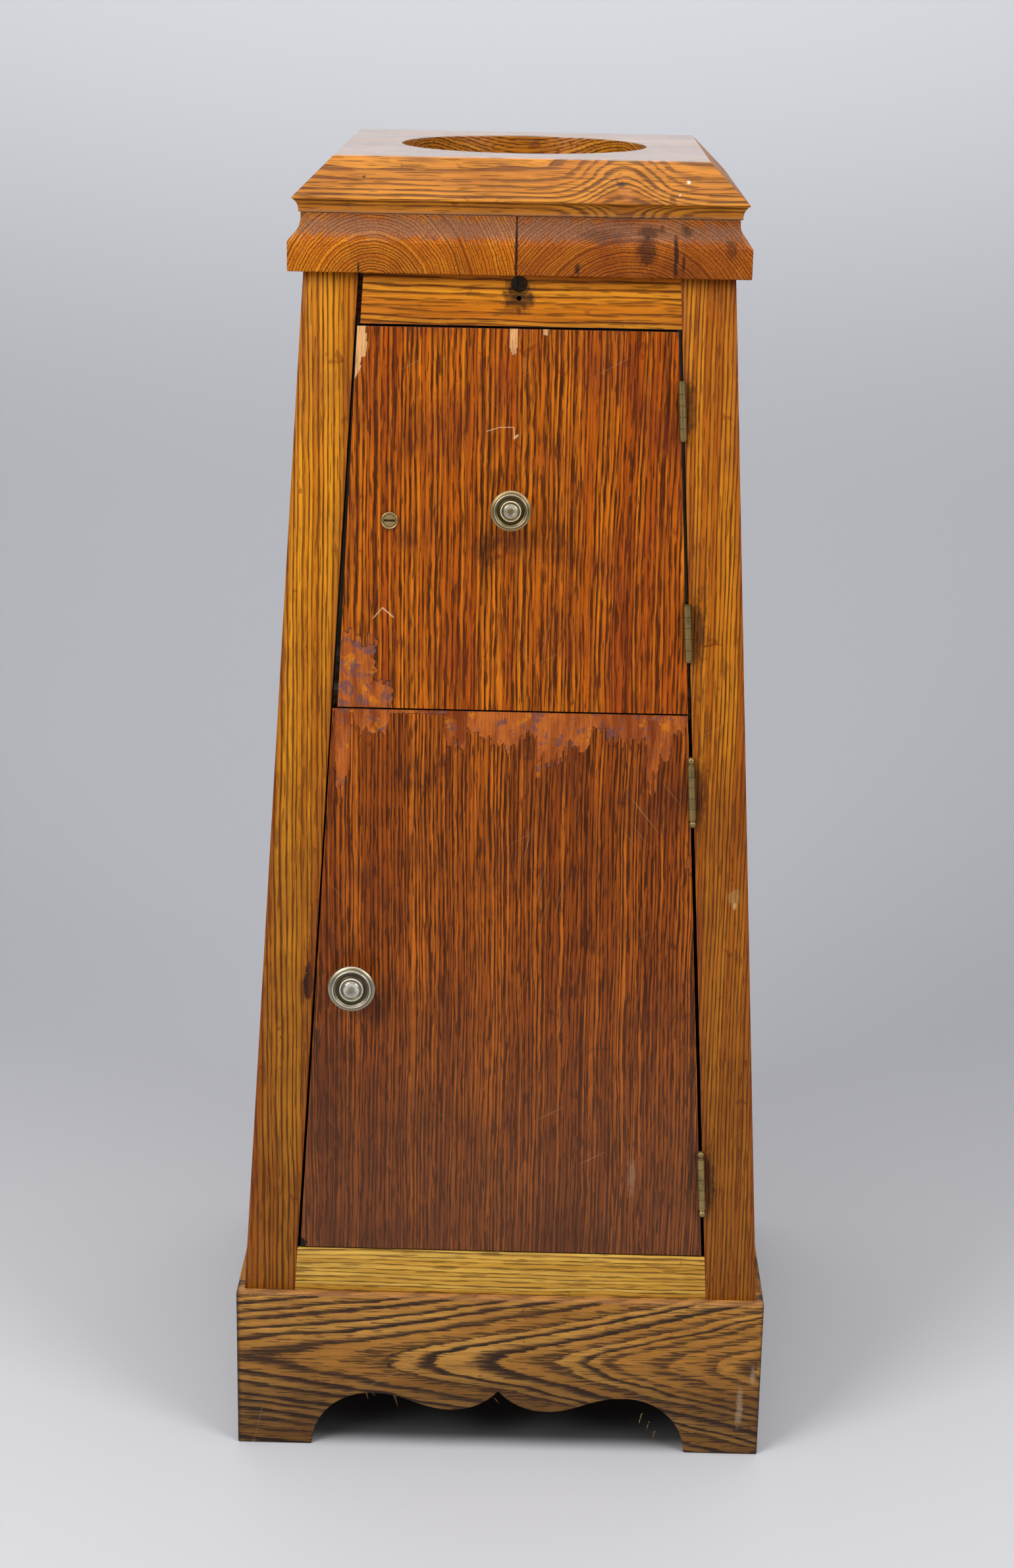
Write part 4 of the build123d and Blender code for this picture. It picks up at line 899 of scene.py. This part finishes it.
def veneerSheet(node, body, look, material):
    # A sheet on the door's face: x runs between the two leaning edges, share by share, and the
    # surface drops by the veneer's thickness wherever it is lost. Walls and a back close it.
    corners = nodeOnFace(node)
    front = corners[corners[:, 2] > corners[:, 2].max() - 1e-5]
    low, high = front[:, 1].min(), front[:, 1].max()
    foot = front[front[:, 1] < low + 1e-5, 0]
    head = front[front[:, 1] > high - 1e-5, 0]
    width, height = foot.max() - foot.min(), high - low
    u, v = np.meshgrid(look["columns"](width) / width, look["rows"](height) / height)
    left = foot.min() + (head.min() - foot.min()) * v
    right = foot.max() + (head.max() - foot.max()) * v
    x = left + (right - left) * u
    slant = low + height * v
    fromTop = high - slant
    depth = lostDepth(x, look["losses"], look["seed"])
    lost = np.clip((depth - fromTop) / veneer["tear"] + 0.5, 0, 1)
    for wide, tall in look["edgeStrips"]:
        ragged = wide * (1.1 - (fromTop / tall) ** 3) * (0.75 + 0.4 * fibreJitter(slant, 0.006, 5))
        strip = np.clip((ragged - (x - left)) / veneer["tear"] + 0.5, 0, 1) * (fromTop < tall)
        lost = np.maximum(lost, strip)
    pale = lost * look["paleShare"]
    for wide, tall in look["cornerPatches"]:
        sway = 0.0016 * np.sin(slant * 310) + 0.0011 * np.sin(slant * 830 + 1)
        deep = tall * (0.86 + 0.3 * fibreJitter(x, 0.0024, 17)) - (slant - low)
        gone = np.minimum(wide + sway - (x - left), deep) / 0.0012 + 0.5
        lost = np.maximum(lost, np.clip(gone, 0, 1))
    for place, tall, wide in look["sideChips"]:  # nicks in the right edge
        ragged = wide * np.clip(1 - ((slant - place) / tall) ** 2, 0, None)
        lost = np.maximum(lost, np.clip((ragged - (right - x)) / veneer["tear"], 0, 1))
    ripple = veneer["ripple"] * (np.sin(x * 61 + slant * 7) + np.sin(slant * 23 + x * 11) - 2)
    out = ripple - veneer["lossShare"] * veneer["thickness"] * lost
    for middleX, middleSlant, reach in look["wells"]:
        near = np.hypot(x - middleX, slant - middleSlant)
        out = np.where(near < reach, -veneer["wellDepth"], out)
    grid = np.arange(u.size).reshape(u.shape)
    ring = np.concatenate((grid[0, :-1], grid[:-1, -1], grid[-1, :0:-1], grid[:0:-1, 0]))
    behind = np.arange(len(ring)) + u.size
    walls = np.stack((ring, behind, np.roll(behind, -1), np.roll(ring, -1)), -1)
    points = faceGrid(x, slant, out).reshape(-1, 3)
    rim = faceGrid(x.reshape(-1)[ring], slant.reshape(-1)[ring], np.full(len(ring), -veneer["thickness"]))
    faces = gridFaces(grid) + walls.tolist() + [behind[::-1].tolist()]
    piece = meshPiece(node + "_worn", np.concatenate((points, rim)), faces, material)
    piece.data.set_sharp_from_angle(angle=math.radians(50))
    for label, values in (("lost", lost), ("pale", pale)):
        storeValue(piece, label, np.concatenate((values.reshape(-1), values.reshape(-1)[ring])))
    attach(piece, body)
    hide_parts(node)


veneerSheet("upper_door_veneer", "upper_door", upperVeneer, "veneerUpperDoor")
veneerSheet("lower_door_veneer", "lower_door", lowerVeneer, "veneerLowerDoor")
print("veneers laid")

splinters = {  # place along the apron, height, reach across and down, width, twist
    "rows": (
        (-0.113, 0.0475, 0.003, -0.0075, 0.0012, 0.0),
        (-0.109, 0.048, 0.005, -0.006, 0.001, 0.4),
        (-0.09, 0.048, 0.005, -0.017, 0.0026, 0.8),
        (0.123, 0.033, -0.003, -0.011, 0.0013, 0.2),
        (0.129, 0.025, -0.0025, -0.012, 0.0011, 0.6),
        (0.134, 0.016, -0.002, -0.011, 0.001, 0.5),
        (-0.004, 0.044, 0.005, -0.006, 0.0008, 0.3),
    ),
    "steps": 9,
    "behindFront": 0.006,
}


def makeSplinters():
    # Thin bent slivers: a centre line that droops with the square of its length, and three
    # corners round it that shrink to a point at both ends.
    t = np.linspace(0, 1, splinters["steps"])[:, None]
    corner = np.arange(3)[None, :] * 2 * np.pi / 3
    points, faces, used = [], [], 0
    for x, z, reach, drop, width, twist in splinters["rows"]:
        thick = width * np.sin(np.pi * (0.12 + 0.86 * t)) / 2
        px = x + reach * t + thick * np.cos(corner + twist + t)
        pz = z + drop * t**2 + 0.0006 * np.sin(7 * t + twist) + thick * np.sin(corner + twist + t)
        py = plinthFront + splinters["behindFront"] + 0.004 * t * twist + thick * np.sin(corner * 2) * 0.4
        points.append(np.stack((px, py, pz), -1).reshape(-1, 3))
        grid = used + np.arange(px.size).reshape(px.shape)
        after = np.roll(grid, -1, axis=1)
        faces += np.stack((grid[:-1], grid[1:], after[1:], after[:-1]), -1).reshape(-1, 4).tolist()
        faces += [grid[0].tolist(), grid[-1, ::-1].tolist()]
        used += px.size
    piece = meshPiece("apron_splinters", np.concatenate(points), faces, "tornOak")
    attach(piece, frame["nodes"]["plinth_front_board"]["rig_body"])


makeSplinters()
print("splinters made")

knobShape = {
    "profile": (  # shares of the radius and of the projection
        (0.45, 0.00), (0.45, 0.05), (0.41, 0.14), (0.35, 0.3), (0.38, 0.46), (0.56, 0.62), (0.8, 0.71),
        (0.94, 0.76), (0.985, 0.79), (1.00, 0.82), (0.985, 0.86), (0.92, 0.895), (0.865, 0.91),
        (0.84, 0.94), (0.81, 0.965), (0.775, 0.965), (0.745, 0.935), (0.7, 0.905), (0.64, 0.89),
        (0.58, 0.895), (0.545, 0.92), (0.52, 0.96), (0.48, 0.99), (0.45, 0.985), (0.425, 0.955),
        (0.395, 0.935), (0.365, 0.945), (0.335, 0.972), (0.3, 0.985), (0.25, 0.982), (0.18, 0.968),
        (0.1, 0.955), (0.04, 0.951), (0.0, 0.95),
    ),
    "polishAndSheen": (  # share of the radius, and how rubbed it is, with painted reflection rings: a bright ring round a darker middle
        (0.0, 0.1, 0.18, 0.26, 0.33, 0.37, 0.42, 0.48, 0.55, 0.66, 0.75, 0.8, 0.86, 0.93, 1.0),
        (0.32, 0.45, 0.8, 1.0, 1.0, 0.5, 0.2, 0.95, 0.1, 0.0, 0.5, 1.0, 0.2, 0.5, 0.8),
    ),
    "stem": ((0.0025, 0.0), (0.003, 0.0005)),  # radius and distance from the stem's back end
    "stemShoulder": ((0.003, -0.0118), (0.004, -0.0118)),
    "foot": 0.0003,
    "steps": 5,
    "segments": 216,
    "rimTeeth": 72,
    "rimTooth": 0.00022,
    "beadTeeth": 44,
    "beadTooth": 0.00018,
    "ridge": 0.035,
}
ringShape = {
    "profile": (  # share of the radius, and height
        (1.0, -0.0012), (1.0, -0.0002), (0.965, 0.0003), (0.9, 0.00045), (0.83, 0.0001), (0.775, -0.0006),
        (0.775, -0.0012),
    ),
    "steps": 4,
    "segments": 96,
}


def smoothProfile(points, steps):  # a curve through the points: four neighbours weighted by cubics
    points = np.asarray(points, float)
    padded = np.concatenate((points[:1], points, points[-1:]))
    t = (np.arange(steps) / steps)[None, :, None]
    a, b, c, d = (padded[i : len(padded) - 3 + i][:, None, :] for i in range(4))
    curve = 0.5 * (2 * b + (c - a) * t + (2 * a - 5 * b + 4 * c - d) * t**2 + (3 * b - a - 3 * c + d) * t**3)
    return np.concatenate((curve.reshape(-1, 2), points[-1:]))


def turnedKnob(name, node, body, material, stemmed):
    # A profile of (radius, out) turned round the normal of the face. Fine teeth ripple the
    # radius of the rim and the height of the inner bead.
    points = nodeOnFace(node)
    low, high = points.min(0), points.max(0)
    middle, radius, projection = (low + high) / 2, (high[0] - low[0]) / 2, high[2]
    start = knobShape["foot"] if stemmed else max(low[2], 0.0)
    back = ((0.0, start),)
    if stemmed:
        stem = tuple((wide, low[2] + out) for wide, out in knobShape["stem"])
        back = ((0.0, low[2]),) + stem + knobShape["stemShoulder"] + ((knobShape["stemShoulder"][1][0], start),)
    share, out = smoothProfile(knobShape["profile"], knobShape["steps"]).T
    r = np.concatenate((np.array(back)[:, 0], share * radius))
    h = np.concatenate((np.array(back)[:, 1], np.maximum(start, out * projection)))
    share = np.concatenate((np.full(len(back), 0.3), share))
    angle = np.arange(knobShape["segments"]) * 2 * np.pi / knobShape["segments"]
    atRim = np.exp(-(((share - 0.975) / knobShape["ridge"]) ** 2))[:, None]
    atBead = np.exp(-(((share - 0.47) / knobShape["ridge"]) ** 2))[:, None] * (h[:, None] > projection * 0.8)
    teeth = np.cos(angle * knobShape["rimTeeth"])[None, :]
    beads = np.cos(angle * knobShape["beadTeeth"])[None, :]
    rr = r[:, None] - atRim * knobShape["rimTooth"] * (1 - teeth) / 2
    hh = h[:, None] - atBead * knobShape["beadTooth"] * (1 - beads)
    x = middle[0] + rr * np.cos(angle)
    slant = middle[1] + rr * np.sin(angle)
    grid = np.arange(rr.size).reshape(rr.shape)
    after = np.roll(grid, -1, axis=1)
    quads = np.stack((grid[1:-2], after[1:-2], after[2:-1], grid[2:-1]), -1).reshape(-1, 4)
    first, last = np.full(len(angle), grid[0, 0]), np.full(len(angle), grid[-1, 0])
    backFan = np.stack((first, after[1], grid[1]), -1)
    frontFan = np.stack((last, grid[-2], after[-2]), -1)
    kept = np.ones(rr.size, bool)  # each pole keeps one of its points
    kept[grid[0, 1:]] = kept[grid[-1, 1:]] = False
    number = np.cumsum(kept) - 1
    faces = number[quads].tolist() + number[backFan].tolist() + number[frontFan].tolist()
    piece = meshPiece(name, faceGrid(x, slant, hh).reshape(-1, 3)[kept], faces, material)
    # rubbed rings and painted reflection rings, by radius
    storeValue(piece, "polishAndSheen", np.repeat(np.interp(share, *knobShape["polishAndSheen"]), len(angle))[kept])
    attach(piece, body)
    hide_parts(node)


def turnedRing():
    # A closed profile of (share of the radius, height) turned round the lock's middle.
    count = ringShape["segments"]
    loop = smoothProfile(ringShape["profile"] + ringShape["profile"][:1], ringShape["steps"])[:-1]
    angle = np.arange(count) * 2 * np.pi / count
    x = lockMiddle[0] + loop[:, :1] * lockReach * np.cos(angle)
    slant = lockMiddle[1] + loop[:, :1] * lockReach * np.sin(angle)
    height = np.repeat(loop[:, 1:] + lockPoints[:, 2].max(), count, 1)
    grid = np.arange(x.size).reshape(x.shape)
    after, outer = np.roll(grid, -1, axis=1), np.roll(grid, -1, axis=0)
    quads = np.stack((grid, after, np.roll(outer, -1, axis=1), outer), -1).reshape(-1, 4)
    piece = meshPiece("lock_rim_turned", faceGrid(x, slant, height).reshape(-1, 3), quads.tolist(), "lockRimBrass")
    # the crown is painted brighter by its height: rubbed brass with a painted highlight, tarnish lower down
    storeValue(piece, "polishAndSheen", np.repeat(np.clip((loop[:, 1] + 0.0004) / 0.0008, 0.1, 1.0), count))
    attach(piece, "upper_door")


turnedRing()
turnedKnob("upper_knob_turned", "upper_door_knob", "upper_door", "upperKnobBrass", False)
turnedKnob("lower_knob_turned", "lower_door_knob", "latch", "lowerKnobNickel", True)
print("knobs turned")

stage = {"front": -4.2, "back": 2.6, "wide": 9.0, "bend": 1.6, "tall": 4.5, "columns": 60, "rows": 180}


def paperMaterial():
    shader, place = startMaterial("studioPaper")
    across, back, height = axes(place)
    paper = mixColour(noise(place, (1.3, 1.3, 1.3)), (204, 205, 209), (209, 210, 214))
    # painted light on the paper: darker towards the back, paler higher up the wall
    paper = mixColour(ramp(back, -0.4, 0.9), paper, (180, 181, 186))
    paper = mixColour(ramp(height, 0.35, 1.25), paper, (221, 222, 226))
    # the floor under the plinth is in deep shade
    under = [ramp(calc("ABSOLUTE", side), 0.196, 0.226, 1.0, 0.0) for side in (across, back)]
    paper = cover(paper, [(under[0] * under[1], 0.9, (26, 24, 23))])
    feed(shader, {"Base Color": paper, "Roughness": 0.85})
    tree = shader.id_data
    behind = wire("NewGeometry", {}, "Backfacing", tree)  # clear when seen from behind the wall
    clear = wire("BsdfTransparent", {}, 0, tree)
    oneSided = wire("MixShader", {0: behind, 1: Wire(shader.outputs[0]), 2: clear})
    feed(next(node for node in tree.nodes if node.type == "OUTPUT_MATERIAL"), {"Surface": oneSided})


def sweepStage():
    # A floor that curves up into a wall: the run along it gives y and z, straight, round, straight.
    flat = stage["back"] - stage["bend"] - stage["front"]
    arc = stage["bend"] * np.pi / 2
    s = np.linspace(0, 1, stage["rows"]) * (flat + arc + stage["tall"] - stage["bend"])
    angle = np.clip((s - flat) / stage["bend"], 0, np.pi / 2)
    y = stage["front"] + np.minimum(s, flat) + stage["bend"] * np.sin(angle)
    z = stage["bend"] * (1 - np.cos(angle)) + np.clip(s - flat - arc, 0, None)
    x, y = np.meshgrid(np.linspace(-stage["wide"], stage["wide"], stage["columns"]), y)
    points = np.stack((x, y, np.repeat(z[:, None], stage["columns"], 1)), -1).reshape(-1, 3)
    floor = meshPiece("studioSweep", points, gridFaces(np.arange(x.size).reshape(x.shape)), "studioPaper")


def addLight(name, place, aim, size, energy):
    light = bpy.data.lights.new(name, "AREA")
    light.shape = "RECTANGLE"
    light.size, light.size_y = size
    light.energy = energy
    lamp = bpy.data.objects.new(name, light)
    direction = Vector(aim) - Vector(place)
    lamp.matrix_world = Matrix.Translation(place) @ direction.to_track_quat("-Z", "Y").to_matrix().to_4x4()
    bpy.context.scene.collection.objects.link(lamp)


def fillWorld():  # soft light from all round, and a plain tone past the paper
    world = bpy.data.worlds.new("studioAir")
    world.use_nodes = True
    tree = world.node_tree
    background = next(node for node in tree.nodes if node.type == "BACKGROUND")
    feed(background, {"Color": srgb(227, 229, 234), "Strength": 0.3})
    farAway = wire("Background", {"Color": srgb(206, 207, 211)}, 0, tree)
    seen = wire("LightPath", {}, "Is Camera Ray", tree)
    air = wire("MixShader", {0: seen, 1: Wire(background.outputs[0]), 2: farAway})
    feed(next(node for node in tree.nodes if node.type == "OUTPUT_WORLD"), {"Surface": air})
    bpy.context.scene.world = world


paperMaterial()
sweepStage()
fillWorld()
addLight("topSoft", (0.0, -0.3, 3.2), (0.0, 0.0, 0.4), (2.6, 2.6), 42)
addLight("leftSoft", (-1.9, -2.0, 2.4), (0.0, 0.0, 0.75), (1.4, 1.8), 64)
addLight("rightSoft", (2.2, -1.9, 2.3), (0.0, 0.0, 0.75), (1.3, 1.7), 42)
addLight("backSoft", (0.0, 1.3, 2.9), (0.0, 2.4, 1.0), (3.0, 1.0), 10)
print("stage lit")
